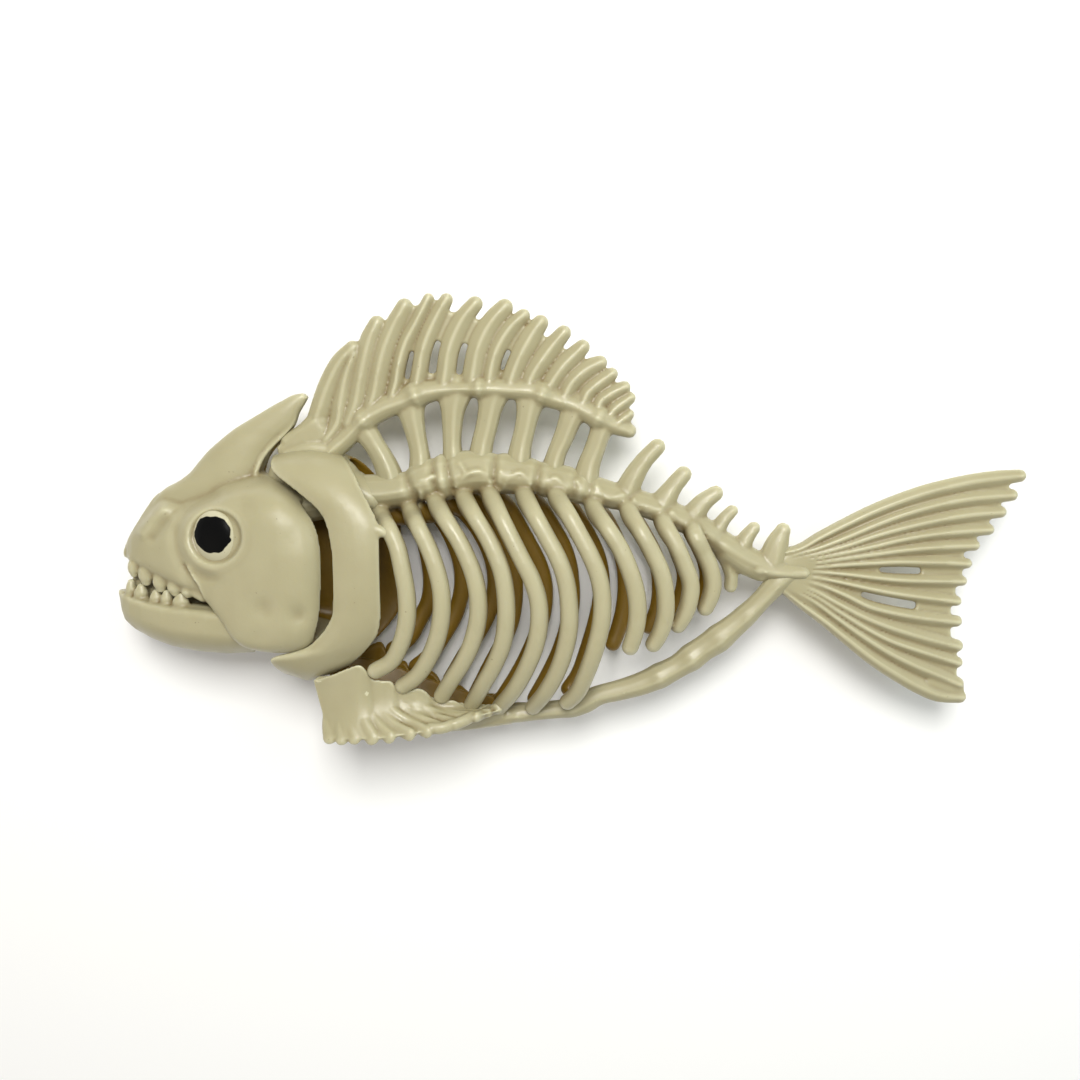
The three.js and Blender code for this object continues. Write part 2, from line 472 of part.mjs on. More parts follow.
function skull() {
  const mouth = bone([[-172, -20.5, 0, 3.4, 4.5], [-160, -26, 0, 4.4, 10], [-148, -32, 0, 7, 14]],
    { sides: 8, steps: 1, roundStart: true });
  const backOfHead = bone([
    [-126, -20, 0, 10, 9], [-119, -20, 0, 22, 17], [-106, -21, 0, 27, 20.4], [-90, -22, 0, 30, 21.5],
  ], { sides: 12, steps: 1 });
  const body = join([braincase(), plate(CREST, 4.6, 2.2)]);
  return join([body.subtract(mouth).subtract(backOfHead), ...toothRow(UPPER_TEETH)]);
}

// ---- Lower jaw: a U-shaped block with a toothed rim ----
const JAW = { front: -181.3, rear: -127 };
const JAW_TOP = profile([[-181.5, -28], [-177, -30.5], [-170, -32.6], [-160, -34.4], [-146, -36], [-127, -39]]);
const JAW_BOTTOM = profile([
  [-181.5, -31], [-180.4, -36], [-179, -40], [-175, -43.6], [-168, -47.4], [-160, -50.4], [-150, -52.3],
  [-138, -53.4], [-127, -52.8],
]);
const JAW_HALF = profile([
  [-181.5, 1.5], [-180, 5], [-177, 8], [-172, 11], [-164, 14.4], [-154, 16.8], [-146, 18], [-127, 18.6],
]);
const JAW_STATIONS = [-181.3, -180, -178, -175, -170, -164, -156, -146, -136, -127];

function lowerJaw(grow = 0) {
  const last = JAW_STATIONS.length - 1;
  const block = mapped(new THREE.BoxGeometry(2, 2, 2, last, 3, 4), (u, v, w) => {
    const x = JAW_STATIONS[Math.round(((u + 1) / 2) * last)];
    const up = (v + 1) / 2;
    const half = JAW_HALF(x) + grow;
    const across = w * half * (1 - 0.4 * (1 - up) ** 2.5);
    const seat = JAW_BOTTOM(x) + 1.6 * (w * w) * (1 - up) + (JAW_TOP(x) - JAW_BOTTOM(x)) * up;
    const at = seen(x, seat, Math.abs(across) * 0.8);
    return new THREE.Vector3(at.x + u * grow, at.y + v * grow, across);
  });
  return block;
}

// ---- Assembly: each piece is cut back from those that it grows from, and kept within the two flats ----
function within(piece) {
  const top = [0, 0, -1];
  return piece.trimByPlane(top, -HALF_WIDTH).trimByPlane([0, 0, 1], -HALF_WIDTH);
}

const cageCutter = cage(RIBS, CLEARANCE).add(mirrored(cage(RIGHT_RIBS, CLEARANCE)));
const collarCutter = collar(CLEARANCE);
const keelCutter = keel(CLEARANCE);
const jawPiece = join([lowerJaw(), plate(GUM, 2), ...toothRow(LOWER_TEETH)]);
const jawCutter = join([lowerJaw(CLEARANCE), plate(GUM, 2 + CLEARANCE), ...toothRow(LOWER_TEETH)]);
const eyeCutter = eyeball(CLEARANCE).add(mirrored(eyeball(CLEARANCE)));
const finCutter = join([keelCutter, mirrored(keelCutter), collarCutter, cageCutter]);
const finPiece = within(pectoralFin()).subtract(finCutter);
const cageHalf = (lines) => within(cage(lines).trimByPlane([0, 0, 1], MID_GAP));

const PIECES = {
  skull: within(skull()).subtract(jawCutter).subtract(eyeCutter).subtract(cageCutter).subtract(collarCutter),
  lower_jaw: jawPiece,
  eye_left: eyeball(),
  eye_right: mirrored(eyeball()),
  collar: within(collar()).subtract(cageCutter),
  rib_cage_left: cageHalf(RIBS),
  rib_cage_right: mirrored(cageHalf(RIGHT_RIBS)),
  dorsal_fin: dorsalFin().subtract(cageCutter).subtract(collarCutter),
  keel: keel().subtract(cageCutter).subtract(collarCutter),
  pectoral_fin_left: finPiece,
  pectoral_fin_right: mirrored(finPiece),
  tail_fin: tailFin().subtract(cageCutter).subtract(keelCutter),
};

// ---- Materials ----
const bonePlastic = new THREE.MeshStandardMaterial({ color: 0xcdc7a2, roughness: 0.42, metalness: 0 });
const eyePaint = new THREE.MeshStandardMaterial({ color: 0x0b0b0b, roughness: 0.3, metalness: 0 });

const fish = new THREE.Group();
for (const [name, piece] of Object.entries(PIECES)) {
  const mesh = new THREE.Mesh(finished(piece), name.startsWith("eye") ? eyePaint : bonePlastic);
  mesh.name = name;
  fish.add(mesh);
}
fish.position.set(SHIFT[0], SHIFT[1], HALF_WIDTH);

export default fish;
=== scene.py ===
"""A fish skeleton decoration, moulded in ivory plastic and lying on its right flank, piece by piece from the ribs
to the tail, and then the floor, the lights and the camera. Metres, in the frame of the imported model."""

import bpy
import numpy as np
from mathutils import Matrix, Vector


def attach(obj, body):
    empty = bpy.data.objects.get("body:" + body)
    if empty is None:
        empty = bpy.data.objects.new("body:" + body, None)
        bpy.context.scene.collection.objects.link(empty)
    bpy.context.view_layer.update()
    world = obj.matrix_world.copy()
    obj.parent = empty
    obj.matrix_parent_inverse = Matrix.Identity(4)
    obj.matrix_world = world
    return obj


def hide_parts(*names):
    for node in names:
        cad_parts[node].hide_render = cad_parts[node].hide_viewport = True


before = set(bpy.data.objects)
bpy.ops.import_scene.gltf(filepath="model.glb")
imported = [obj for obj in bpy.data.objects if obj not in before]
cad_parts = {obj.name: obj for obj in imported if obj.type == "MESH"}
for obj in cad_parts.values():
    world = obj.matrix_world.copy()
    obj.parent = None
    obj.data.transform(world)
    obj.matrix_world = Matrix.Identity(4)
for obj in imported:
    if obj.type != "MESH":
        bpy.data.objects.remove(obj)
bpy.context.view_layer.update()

# ---- Rib cage ----
# The vertebral column with its ribs and prongs, moulded in ivory plastic as a left and a right half. The halves are
# glued along the middle of the fish, and their ribs bulge out of the column's side and come in to the keel.

# The fish is drawn in millimetres as an eye above its left flank sees it: x and y are where a point seems to lie on
# the plane between the halves, and z is its height above that plane.
EYE = np.array([8.0, 48.0, 406.0])
SPOT = np.array([-13.2, -8.2, 0.0])
AHEAD = SPOT - EYE
RIGHTWARD = np.cross(AHEAD, [0, 1, 0]) / np.linalg.norm(np.cross(AHEAD, [0, 1, 0]))
UPWARD = np.cross(RIGHTWARD, AHEAD) / np.linalg.norm(AHEAD)
DRAWING_TO_FLOOR = np.array([5.59, 0.16, 26.0])  # from the drawing's origin to the one under the fish
MILLIMETRE = 0.001
FLANK = 26.0  # how far each flank reaches from the plane between the halves


def seen(points):
    """Where points drawn at (x, y) with height z are: the ray from the eye through (x, y) is cut at height z."""
    p = np.asarray(points, float)
    ray = AHEAD + (p[..., :1] - SPOT[0]) * RIGHTWARD + (p[..., 1:2] - SPOT[1]) * UPWARD
    return EYE + ray * ((p[..., 2:3] - EYE[2]) / ray[..., 2:3])


def bulge(distance, power):
    """A superellipse's height: (1 - |distance|^power)^(1/power), and 0 beyond distance 1."""
    return np.clip(1 - np.abs(distance) ** power, 0, None) ** (1 / power)


def through(knots, marks, at):
    """A smooth curve through knots that stand at marks, read at the values at: cubic spans whose slopes at a knot
    are the mean slope of its two neighbours."""
    slopes = np.gradient(knots, marks, axis=0)
    i = np.clip(np.searchsorted(marks, at, side="right") - 1, 0, len(marks) - 2)
    span = (marks[i + 1] - marks[i])[:, None]
    u = (at - marks[i])[:, None] / span
    return ((2 * u**3 - 3 * u**2 + 1) * knots[i] + (u**3 - 2 * u**2 + u) * span * slopes[i]
            + (3 * u**2 - 2 * u**3) * knots[i + 1] + (u**3 - u**2) * span * slopes[i + 1])


def squares(rows, columns):
    """The four-cornered faces of a grid of points whose last column meets its first."""
    r = np.arange(rows - 1)[:, None] * columns
    c = np.arange(columns)[None, :]
    n = (c + 1) % columns
    return np.stack([r + c, r + n, r + columns + n, r + columns + c], axis=-1).reshape(-1, 4)


def skin_of(points):
    """A grid of points as a skin: all its points in one list, and the faces between them."""
    return points.reshape(-1, 3), squares(*points.shape[:2])


def full_turn(count):
    """So many even angles round a full turn."""
    return np.linspace(0, 2 * np.pi, count + 1)[:-1]


OVAL = np.stack([np.cos(full_turn(24)), np.sin(full_turn(24))], axis=1)


CAP_RINGS = 6  # the rings of a bone's rounded end
JOINT_WIDENING = 0.45  # how much a joint widens a bone, against how much it deepens it


def bone(stations, section=OVAL, blunt=1.0, step=1.2, joints=()):
    """A bone's skin. A section, drawn as (across, outward) pairs within a unit circle, is carried along a smooth line
    through stations (x, y, z, half-width, half-depth); the half-depth equals the half-width if it is left out.
    Both ends are quarter ellipses, blunt times as long as the section is wide. At a joint (x, share, reach) the
    section is deeper by that share and wider by JOINT_WIDENING of it, falling off as exp(-(dx/reach)^2)."""
    table = np.array([[*row, row[3]][:5] for row in stations], float)
    knots = np.hstack([seen(table[:, :3]), table[:, 3:]])
    marks = np.append(0, np.cumsum(np.linalg.norm(np.diff(knots[:, :3], axis=0), axis=1)))
    at = np.linspace(0, marks[-1], max(5, int(marks[-1] / step)))
    rows = through(knots, marks, at)
    for x, share, reach in joints:
        rows[:, 3:] *= 1 + share * np.array([JOINT_WIDENING, 1]) * np.exp(-(((rows[:, :1] - x) / reach) ** 2))
    along = np.gradient(rows[:, :3], at, axis=0)
    along /= np.linalg.norm(along, axis=1, keepdims=True)
    turn = np.linspace(0, np.pi / 2, CAP_RINGS + 1)[:-1]
    order = np.concatenate([np.zeros(CAP_RINGS, int), np.arange(len(at)), np.full(CAP_RINGS, len(at) - 1)])
    shift = np.concatenate([-np.cos(turn), np.zeros(len(at)), np.cos(turn[::-1])])
    size = np.concatenate([np.sin(turn), np.ones(len(at)), np.sin(turn[::-1])])
    rows, along = rows[order], along[order]
    across = np.cross([0, 0, 1], along)
    across /= np.linalg.norm(across, axis=1, keepdims=True)
    outward = np.cross(along, across)
    centre = rows[:, :3] + along * (shift * blunt * rows[:, 3])[:, None]
    wide = across * (size * rows[:, 3])[:, None]
    deep = outward * (size * rows[:, 4])[:, None]
    points = centre[:, None] + wide[:, None] * section[None, :, :1] + deep[:, None] * section[None, :, 1:]
    return skin_of(points)


def middle_bone(stations, *shape, **options):
    """A bone along the plane between the halves, whose stations are (x, y, half-width, half-depth)."""
    return bone(np.insert(np.array(stations, float), 2, 0, axis=1), *shape, **options)


def mirrored(skin):
    """The same skin on the fish's other side."""
    return skin[0] * [1, 1, -1], skin[1]


def moulded(name, skins, grain, soften):
    """One solid moulding out of overlapping closed skins. They are fused on a lattice of cubes of size grain, each
    point is then moved soften times halfway to its neighbours' mean, which rounds the corners between them as in a
    mould, and the whole is held between the two flanks."""
    starts = np.cumsum([0] + [len(points) for points, _ in skins])
    points = np.vstack([points for points, _ in skins]) + DRAWING_TO_FLOOR
    faces = np.vstack([quads + start for (_, quads), start in zip(skins, starts)])
    mesh = bpy.data.meshes.new(name)
    mesh.from_pydata(points * MILLIMETRE, [], faces)
    blank = bpy.data.objects.new(name, mesh)
    bpy.context.scene.collection.objects.link(blank)
    fuse = blank.modifiers.new("fuse", "REMESH")
    fuse.mode = "VOXEL"
    fuse.voxel_size = grain * MILLIMETRE
    rounding = blank.modifiers.new("rounding", "SMOOTH")
    rounding.factor = 0.5
    rounding.iterations = soften
    solid = bpy.data.meshes.new_from_object(blank.evaluated_get(bpy.context.evaluated_depsgraph_get()))
    bpy.data.objects.remove(blank)
    placed = np.empty(len(solid.vertices) * 3, np.float32)
    solid.vertices.foreach_get("co", placed)
    placed = placed.reshape(-1, 3)
    flanks = (np.array([-FLANK, FLANK]) + DRAWING_TO_FLOOR[2]) * MILLIMETRE
    placed[:, 2] = np.clip(placed[:, 2], *flanks)
    solid.vertices.foreach_set("co", placed.ravel())
    solid.polygons.foreach_set("use_smooth", np.ones(len(solid.polygons), bool))
    solid.update()
    piece = bpy.data.objects.new(name, solid)
    bpy.context.scene.collection.objects.link(piece)
    return piece


def two_faced(face):
    """A section whose face away from the eye mirrors the one towards it, which is given from edge to edge."""
    return np.array([*face, *[(across, -out) for across, out in reversed(face) if out]])


# The column's section: a flat upper flank, a ridge just below the middle and a lower facet.
COLUMN_SECTION = two_faced([
    (1, 0), (0.93, 0.3), (0.62, 0.66), (0.2, 0.9), (-0.05, 1), (-0.35, 0.92), (-0.75, 0.62), (-0.97, 0.25), (-1, 0),
])
# Its stations from the nape to the tail, and its joints: narrow waists between the vertebrae.
COLUMN = [
    [-114, 5, 8, 9], [-100, 8, 8, 9], [-85, 10.5, 7.5, 8.5], [-72, 11.5, 7.2, 8.4], [-66, 12.6, 7.2, 8.4],
    [-60, 15.2, 8.4, 9.2], [-50, 17.2, 9.4, 9.2], [-40, 19, 8.9, 9], [-30, 18.7, 8.4, 8.8],
    [-20, 17.5, 7.7, 8.4], [-10, 16, 7.3, 8], [0, 13.6, 7, 7.6], [10, 11, 6, 7], [20, 8.6, 5.2, 6.4],
    [30, 5.6, 5.2, 6.2], [40, 1.7, 5.3, 6], [50, -2.8, 5.2, 5.7], [60, -9.6, 5.2, 5.5],
    [68, -14.8, 5.3, 5.3], [76, -18.2, 4.8, 5], [84, -20, 4.2, 4.8], [91.5, -20.8, 3.7, 4.6],
]
VERTEBRA_JOINTS = [(-64, -0.26, 1.7), (-54.4, -0.22, 1.4), (-51.4, 0.04, 1.2), (-48.3, -0.22, 1.4),
                   (-31, -0.28, 1.7), (-14, -0.26, 1.7),
                   (0.5, -0.17, 1.6), (6, -0.16, 1.6), (22, -0.15, 2), (36.5, -0.13, 2), (57, -0.12, 2)]
# Low ridges that cross the column's flank, and break it into facets.
FACET_RIDGES = [
    [(-62.4, 16), (-60.8, 12), (-60.4, 9)], [(-60.8, 15.4), (-56.2, 17)],
    [(-46.5, 13.6), (-42.5, 18), (-37, 19), (-33.2, 15)],
    [(-45, 22), (-42.5, 18)], [(-28.8, 19), (-27, 14.6), (-29, 12)], [(-26.4, 16.4), (-21, 18.4), (-17.2, 14.6)],
    [(-12.4, 13.6), (-7.4, 16.4), (-3, 12.4)], [(1.6, 15), (5.2, 10.4)], [(9.4, 12.8), (14, 8.6), (19.6, 9.6)],
    [(24.4, 7.4), (29, 3.8), (34.6, 4)], [(39.4, 2.6), (44, -1.6), (49, -3.4)],
]

# The ribs' centre lines from head to tip, as the eye sees them, each with the cage's half-breadth there.
RIB_LINES = [
    [(-76, 0), (-73, -5), (-70.7, -10), (-68.3, -20), (-66.6, -30), (-66.5, -40), (-69, -50), (-73, -57),
     (-79, -60.5)],
    [(-64, 1), (-61.5, -4), (-58, -11), (-55, -19), (-53, -27), (-52.5, -36), (-54, -46), (-58, -56), (-63, -63),
     (-68, -66.5)],
    [(-54, 5), (-50.5, -1), (-46, -8), (-42.5, -15), (-39.5, -23), (-38, -31), (-38, -39), (-40, -48), (-44, -57),
     (-48.5, -64), (-52.5, -70.5)],
    [(-42.8, 7), (-39, 0.5), (-35, -6), (-31.5, -13), (-28.5, -21), (-27, -30), (-26.8, -40), (-28, -49),
     (-31.5, -58), (-36, -66), (-40.5, -74)],
    [(-32.5, 8), (-28.5, 0), (-24.5, -8), (-20.5, -16), (-16.5, -24), (-14, -32), (-13.5, -41), (-15, -50),
     (-18.5, -59), (-23.5, -68), (-29.5, -75)],
    [(-18.8, 8), (-15, 1), (-10, -8), (-6, -15.5), (-3, -24), (-1.7, -33), (-1.5, -42), (-3, -51), (-6, -60),
     (-11, -69), (-16, -75)],
    [(-6, 8), (-2, 2), (2.5, -6), (6.5, -13.5), (10, -22), (11.7, -31), (11.3, -41), (9, -51), (5.5, -61), (1, -70),
     (-2.3, -73)],
    [(9, 3), (14, -4), (18.5, -11), (22.5, -20), (25.3, -30), (25.8, -38), (24.8, -45), (22.9, -51)],
    [(23, 1.5), (27, -5), (31.5, -13), (35.5, -22), (37, -31), (36.5, -40), (34.2, -46.5), (32.2, -49.8)],
    [(37, -3.4), (41, -10), (44.5, -18), (47, -25.5), (46.3, -33), (44, -39), (42, -42.2)],
    [(49, -7), (52, -13), (55, -20), (55.8, -27), (54.5, -32), (52.9, -35.3)],
]
HALF_BREADTHS = [22.2] * 7 + [20.5, 16.5, 12, 8]
# The right side's eighth rib is longer than the left one.
LONG_EIGHTH = [(9, 3), (13.5, -4), (17, -11), (20.5, -20), (22.3, -29), (22.3, -38), (20.8, -47), (18, -55),
               (16.6, -58)]
CAGE_MIDDLE, CAGE_REACH = -30, 46  # the height where the cage is broadest, and how far its oval goes up and down
NECK_STEP = (-1.6, 4.2)  # from a rib's head to the start of its neck
NECK_OUT, HEAD_OUT = 3, 8  # how far out from the plane between the halves they lie


def rib(line, half_breadth):
    """A rib on the left side: a neck inside the column, a head beside it, and then the cage's oval, which is as far
    out as half_breadth * bulge((y - CAGE_MIDDLE) / CAGE_REACH, 2.3). It swells at its head and is slimmer towards
    the tip."""
    x, y = np.array(line, float).T
    x, y = np.append(x[0] + NECK_STEP[0], x), np.append(y[0] + NECK_STEP[1], y)
    out = half_breadth * bulge((y - CAGE_MIDDLE) / CAGE_REACH, 2.3)
    out[:2] = NECK_OUT, HEAD_OUT
    share = np.linspace(0, 1, len(x))
    half_width = np.interp(share, [0, 0.1, 0.2, 0.4, 0.7, 1], [3.4, 3.9, 3.4, 3.5, 3.6, 3.3])
    return bone(np.stack([x, y, out, half_width, half_width * 0.95], axis=1))


LEAN = 2.6  # how far the right side's three foremost ribs lean back


def leaning(line):
    """The line of a rib that leans back by LEAN * bulge((y + 20) / 30, 2): the most at y = -20, and nothing beyond
    30 mm from there."""
    return [(x + LEAN * bulge((y + 20) / 30, 2), y) for x, y in line]


# A prong's section: a ridge down its face, a little to one side.
PRONG_SECTION = two_faced([(1, 0), (0.86, 0.5), (0.42, 0.82), (-0.12, 1), (-0.5, 0.8), (-0.86, 0.46), (-1, 0)])
PRONGS = [
    [[21, 10, 5.4, 5], [24.5, 17.5, 4.5, 4.2], [28.5, 23.5, 3.8, 3.6], [33.7, 29, 3.5, 3.2]],
    [[35.5, 6, 5.6, 5], [40, 13, 3.9, 3.8], [44.2, 18, 3.5, 3.2]],
    [[47.5, 1, 5, 4.6], [52.5, 7.2, 3.9, 3.6], [57, 10.4, 3.3, 3]],
    [[57, -5.5, 3.6, 3.8], [61, 0.8, 2.8, 2.8], [63.7, 3.4, 2.6, 2.5]],
    [[66, -13.5, 4.6, 4.2], [70, -6.4, 3.2, 3.2], [72.4, -3.4, 2.7, 2.6]],
    [[79.5, -17, 6, 4.6], [82, -9, 4.7, 3.8], [84, -4.4, 3.2, 3]],
    [[60, -12.5, 4, 3.6], [62.2, -18, 3.2, 3], [63.3, -23, 2.9, 2.8], [63, -26.6, 2.9, 2.7]],
    [[62, -13, 5.5, 5], [69, -17.5, 5, 5], [75, -21, 4, 4.2]],
    [[74, -19.4, 4, 5.6], [83, -20.7, 3.7, 5.4], [90.5, -21.1, 3.4, 4.7]],
]


RIDGE_SUNK = 1.0  # how deep a ridge's middle lies in the flank


def on_column(line):
    """A low ridge along a line on the column's flank, whose height there is read from the column's section."""
    x, y = np.array(line, float).T
    column = np.array(COLUMN)
    middle, wide, deep = (np.interp(x, column[:, 0], column[:, k]) for k in (1, 2, 3))
    flank = COLUMN_SECTION[8::-1]
    for at, share, reach in VERTEBRA_JOINTS:
        deep = deep * (1 + share * np.exp(-(((x - at) / reach) ** 2)))
    out = np.interp((y - middle) / wide, *flank.T) * deep - RIDGE_SUNK
    return bone(np.stack([x, y, out, 1.2 + 0 * x, 1.5 + 0 * x], axis=1), step=0.8)


GLUE_LINE = 0.15  # how far each half stays from the plane between them


def half_cage(lines):
    """The left half of the cage: everything that would pass the plane between the halves is flattened onto it."""
    skins = [middle_bone(COLUMN, COLUMN_SECTION, joints=VERTEBRA_JOINTS, step=0.8)]
    skins += [middle_bone(prong, PRONG_SECTION) for prong in PRONGS] + [on_column(line) for line in FACET_RIDGES]
    skins += [rib(line, breadth) for line, breadth in zip(lines, HALF_BREADTHS)]
    return [(np.maximum(points, [-np.inf, -np.inf, GLUE_LINE]), quads) for points, quads in skins]


RIGHT_LINES = [leaning(line) for line in RIB_LINES[:3]] + RIB_LINES[3:7] + [LONG_EIGHTH] + RIB_LINES[8:]
ribs_left = moulded("ribs_left_moulding", half_cage(RIB_LINES), grain=0.67, soften=4)
ribs_right = moulded("ribs_right_moulding", [mirrored(skin) for skin in half_cage(RIGHT_LINES)], grain=0.67, soften=4)


# The ivory plastic that all the pieces are moulded in.
def new_node(tree, kind, operation=None, **values):
    """A new shader node with its operation, where it has one, and with the named inputs set."""
    node = tree.nodes.new("ShaderNode" + kind)
    if operation:
        node.operation = operation
    for name, value in values.items():
        node.inputs[name.replace("_", " ")].default_value = value
    return node


def ivory_group():
    """Moulded ivory: painted shade, warm, in its hollows and a painted highlight, pale, along its edges, both read
    from how sharply the surface bends and how shut in it is, and painted shade, brown, where it faces the fish's
    middle plane, as inside the ribs. It has broad cloudy mottling, a few fine dark specks and the slight unevenness
    of a moulded skin."""
    tree = bpy.data.node_groups.new("Moulded ivory", "ShaderNodeTree")
    face = tree.interface
    # The colours: the ivory's own skin, dark mottling that is also painted shade in creases and nooks, pale mottling
    # that is also a painted highlight on ridges, and painted shade inside the rib cage.
    colours = {"Skin": (0.365, 0.33, 0.195, 1), "Dark Mottle and Painted Shade": (0.16, 0.105, 0.035, 1), "Pale Mottle and Painted Highlight": (0.57, 0.545, 0.37, 1),
               "Inside": (0.23, 0.13, 0.004, 1)}
    for name, value in colours.items():
        face.new_socket(name=name, in_out="INPUT", socket_type="NodeSocketColor").default_value = value
    face.new_socket(name="Gloss Roughness", in_out="INPUT", socket_type="NodeSocketFloat").default_value = 0.35
    for name, kind in [("Colour", "Color"), ("Roughness", "Float"), ("Height", "Float")]:
        face.new_socket(name=name, in_out="OUTPUT", socket_type="NodeSocket" + kind)
    link = tree.links.new
    entry, leave = tree.nodes.new("NodeGroupInput"), tree.nodes.new("NodeGroupOutput")
    place = new_node(tree, "TexCoord").outputs["Object"]

    def noise(scale, detail, roughness=0.5):
        node = new_node(tree, "TexNoise", Scale=scale, Detail=detail, Roughness=roughness)
        link(place, node.inputs["Vector"])
        return node.outputs["Fac"]

    def spread(value, low, high, to_low=0.0, to_high=1.0):
        node = new_node(tree, "MapRange", From_Min=low, From_Max=high, To_Min=to_low, To_Max=to_high)
        link(value, node.inputs["Value"])
        return node.outputs["Result"]

    def combined(operation, first, second):
        node = new_node(tree, "Math", operation)
        link(first, node.inputs[0])
        link(second, node.inputs[1])
        return node.outputs[0]

    def tinted(share, skin, colour):
        node = new_node(tree, "Mix")
        node.data_type = "RGBA"
        link(share, node.inputs["Factor"])
        link(skin, node.inputs[6])
        if isinstance(colour, str):
            link(entry.outputs[colour], node.inputs[7])
        else:
            node.inputs[7].default_value = colour
        return node.outputs[2]

    surface = new_node(tree, "NewGeometry").outputs
    skin = tinted(spread(noise(38, 4), 0.25, 0.8, 0, 0.16), entry.outputs["Skin"], "Pale Mottle and Painted Highlight")
    skin = tinted(spread(noise(60, 2), 0.4, 0.85, 0, 0.1), skin, "Dark Mottle and Painted Shade")
    # Painted shade in concave creases and a painted highlight on convex ridges, read from how sharply the surface
    # bends.
    skin = tinted(spread(surface["Pointiness"], 0.5, 0.44, 0, 0.9), skin, "Dark Mottle and Painted Shade")
    skin = tinted(spread(surface["Pointiness"], 0.505, 0.55, 0, 0.9), skin, "Pale Mottle and Painted Highlight")
    # Painted shade where the piece shuts itself in, within 9 mm.
    occlusion_shade = new_node(tree, "AmbientOcclusion", Distance=0.009)
    occlusion_shade.only_local = True
    occlusion_shade.samples = 6
    skin = tinted(spread(occlusion_shade.outputs["AO"], 0.85, 0.4, 0, 0.75), skin, "Dark Mottle and Painted Shade")
    height_in, normal_in = new_node(tree, "SeparateXYZ"), new_node(tree, "SeparateXYZ")
    link(place, height_in.inputs[0])
    link(surface["Normal"], normal_in.inputs[0])
    # Painted shade, brown, where the surface faces the plane between the halves, as inside the ribs: 1 below the
    # plane between the halves and -1 above it, times how far up the surface faces.
    side = spread(height_in.outputs["Z"], 0.022, 0.03, 1, -1)
    painted_inside_shade = combined("MULTIPLY", side, normal_in.outputs["Z"])
    skin = tinted(spread(painted_inside_shade, 0.0, 0.3, 0, 0.97), skin, "Inside")
    skin = tinted(spread(noise(900, 1), 0.78, 0.82, 0, 0.55), skin, (0.09, 0.06, 0.03, 1))
    link(skin, leave.inputs["Colour"])
    rough = combined("ADD", entry.outputs["Gloss Roughness"], spread(noise(120, 3), 0.3, 0.7, -0.06, 0.1))
    link(rough, leave.inputs["Roughness"])
    height = combined("ADD", spread(noise(160, 4, 0.55), 0, 1), spread(noise(1400, 2), 0, 1, 0, 0.12))
    link(height, leave.inputs["Height"])
    return tree


MOULDED_IVORY = ivory_group()


def ivory_plastic(name, **colours):
    """A semi-gloss ivory plastic finish: the moulded-ivory pattern under a plain plastic gloss."""
    finish = bpy.data.materials.new(name)
    finish.use_nodes = True
    nodes, link = finish.node_tree.nodes, finish.node_tree.links.new
    plastic = nodes["Principled BSDF"]
    gloss = {"IOR": 1.5, "Subsurface Weight": 0.12, "Subsurface Radius": (0.004, 0.0028, 0.0012),
             "Subsurface Scale": 1}
    for key, value in gloss.items():
        plastic.inputs[key].default_value = value
    pattern = nodes.new("ShaderNodeGroup")
    pattern.node_tree = MOULDED_IVORY
    for key, value in colours.items():
        pattern.inputs[key].default_value = value
    relief = new_node(finish.node_tree, "Bump", Strength=0.25, Distance=0.0006)
    link(pattern.outputs["Colour"], plastic.inputs["Base Color"])
    link(pattern.outputs["Roughness"], plastic.inputs["Roughness"])
    link(pattern.outputs["Height"], relief.inputs["Height"])
    link(relief.outputs["Normal"], plastic.inputs["Normal"])
    return finish


BONE_PLASTIC = ivory_plastic("bone_plastic")


def fitted(piece, finish, slot, *nodes):
    """Gives a finished piece its material, fixes it to the fish and lets it stand for the nodes that it covers."""
    piece.data.materials.clear()
    piece.data.materials.append(finish)
    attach(piece, "root")
    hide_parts(*nodes)


fitted(ribs_left, BONE_PLASTIC, "bone_plastic", "rib_cage_left")
fitted(ribs_right, BONE_PLASTIC, "bone_plastic", "rib_cage_right")

# ---- Shoulder collar ----
# A broad hoop of ivory plastic round the neck, about 4 mm thick with rounded edges. A block at the nape carries it
# on the column, and a small tab joins it to the first rib.
COLLAR_MIDDLE = -92.0
HOOP_TOP, HOOP_BOTTOM, HOOP_REACH, HOOP_THICKNESS = 27.9, -66.2, 25.9, 4.2
# The hoop's front and rear edges as (height, x), as the eye sees them.
HOOP_FRONT = np.array([
    (-64.5, -109), (-63, -113), (-61, -117.5), (-58, -121), (-56, -121.6), (-54.5, -120), (-53, -110), (-50, -104.5),
    (-45, -100), (-41, -97.5), (-37, -96.1), (-25, -96.3), (-12, -96.8), (-5, -98), (1, -100), (5.5, -103.8),
    (10.5, -109.8), (16, -117), (19, -120.5), (22, -121.6), (27, -119.5), (29, -117),
])
HOOP_REAR = np.array([
    (-64.5, -103), (-62, -97), (-59, -90), (-55, -85), (-50, -80.8), (-46, -78), (-40, -76.8), (-30, -77),
    (-10, -77.5), (-3, -77.7), (0, -78.4), (5, -80.8), (10, -83.6), (17, -86.6), (22, -89.4), (25, -91.2), (29, -95),
])


def seen_at(points):
    """Where points seem to lie to the eye: x and y on the plane between the halves, the reverse of seen."""
    ray = np.asarray(points, float) - EYE
    scale = (AHEAD @ AHEAD) / (ray @ AHEAD)
    return np.stack([SPOT[0] + (ray @ RIGHTWARD) * scale, SPOT[1] + (ray @ UPWARD) * scale], axis=-1)


def signed(value, power):
    """A power of a value's size that keeps its sign."""
    return np.sign(value) * np.abs(value) ** power


def smooth_read(table, at):
    """A table of (key, value) pairs read at some keys: straight spans rounded by averaging over 3 mm."""
    spread = np.linspace(-1.5, 1.5, 7)
    return np.mean([np.interp(at + d, table[:, 0], table[:, 1]) for d in spread], axis=0)


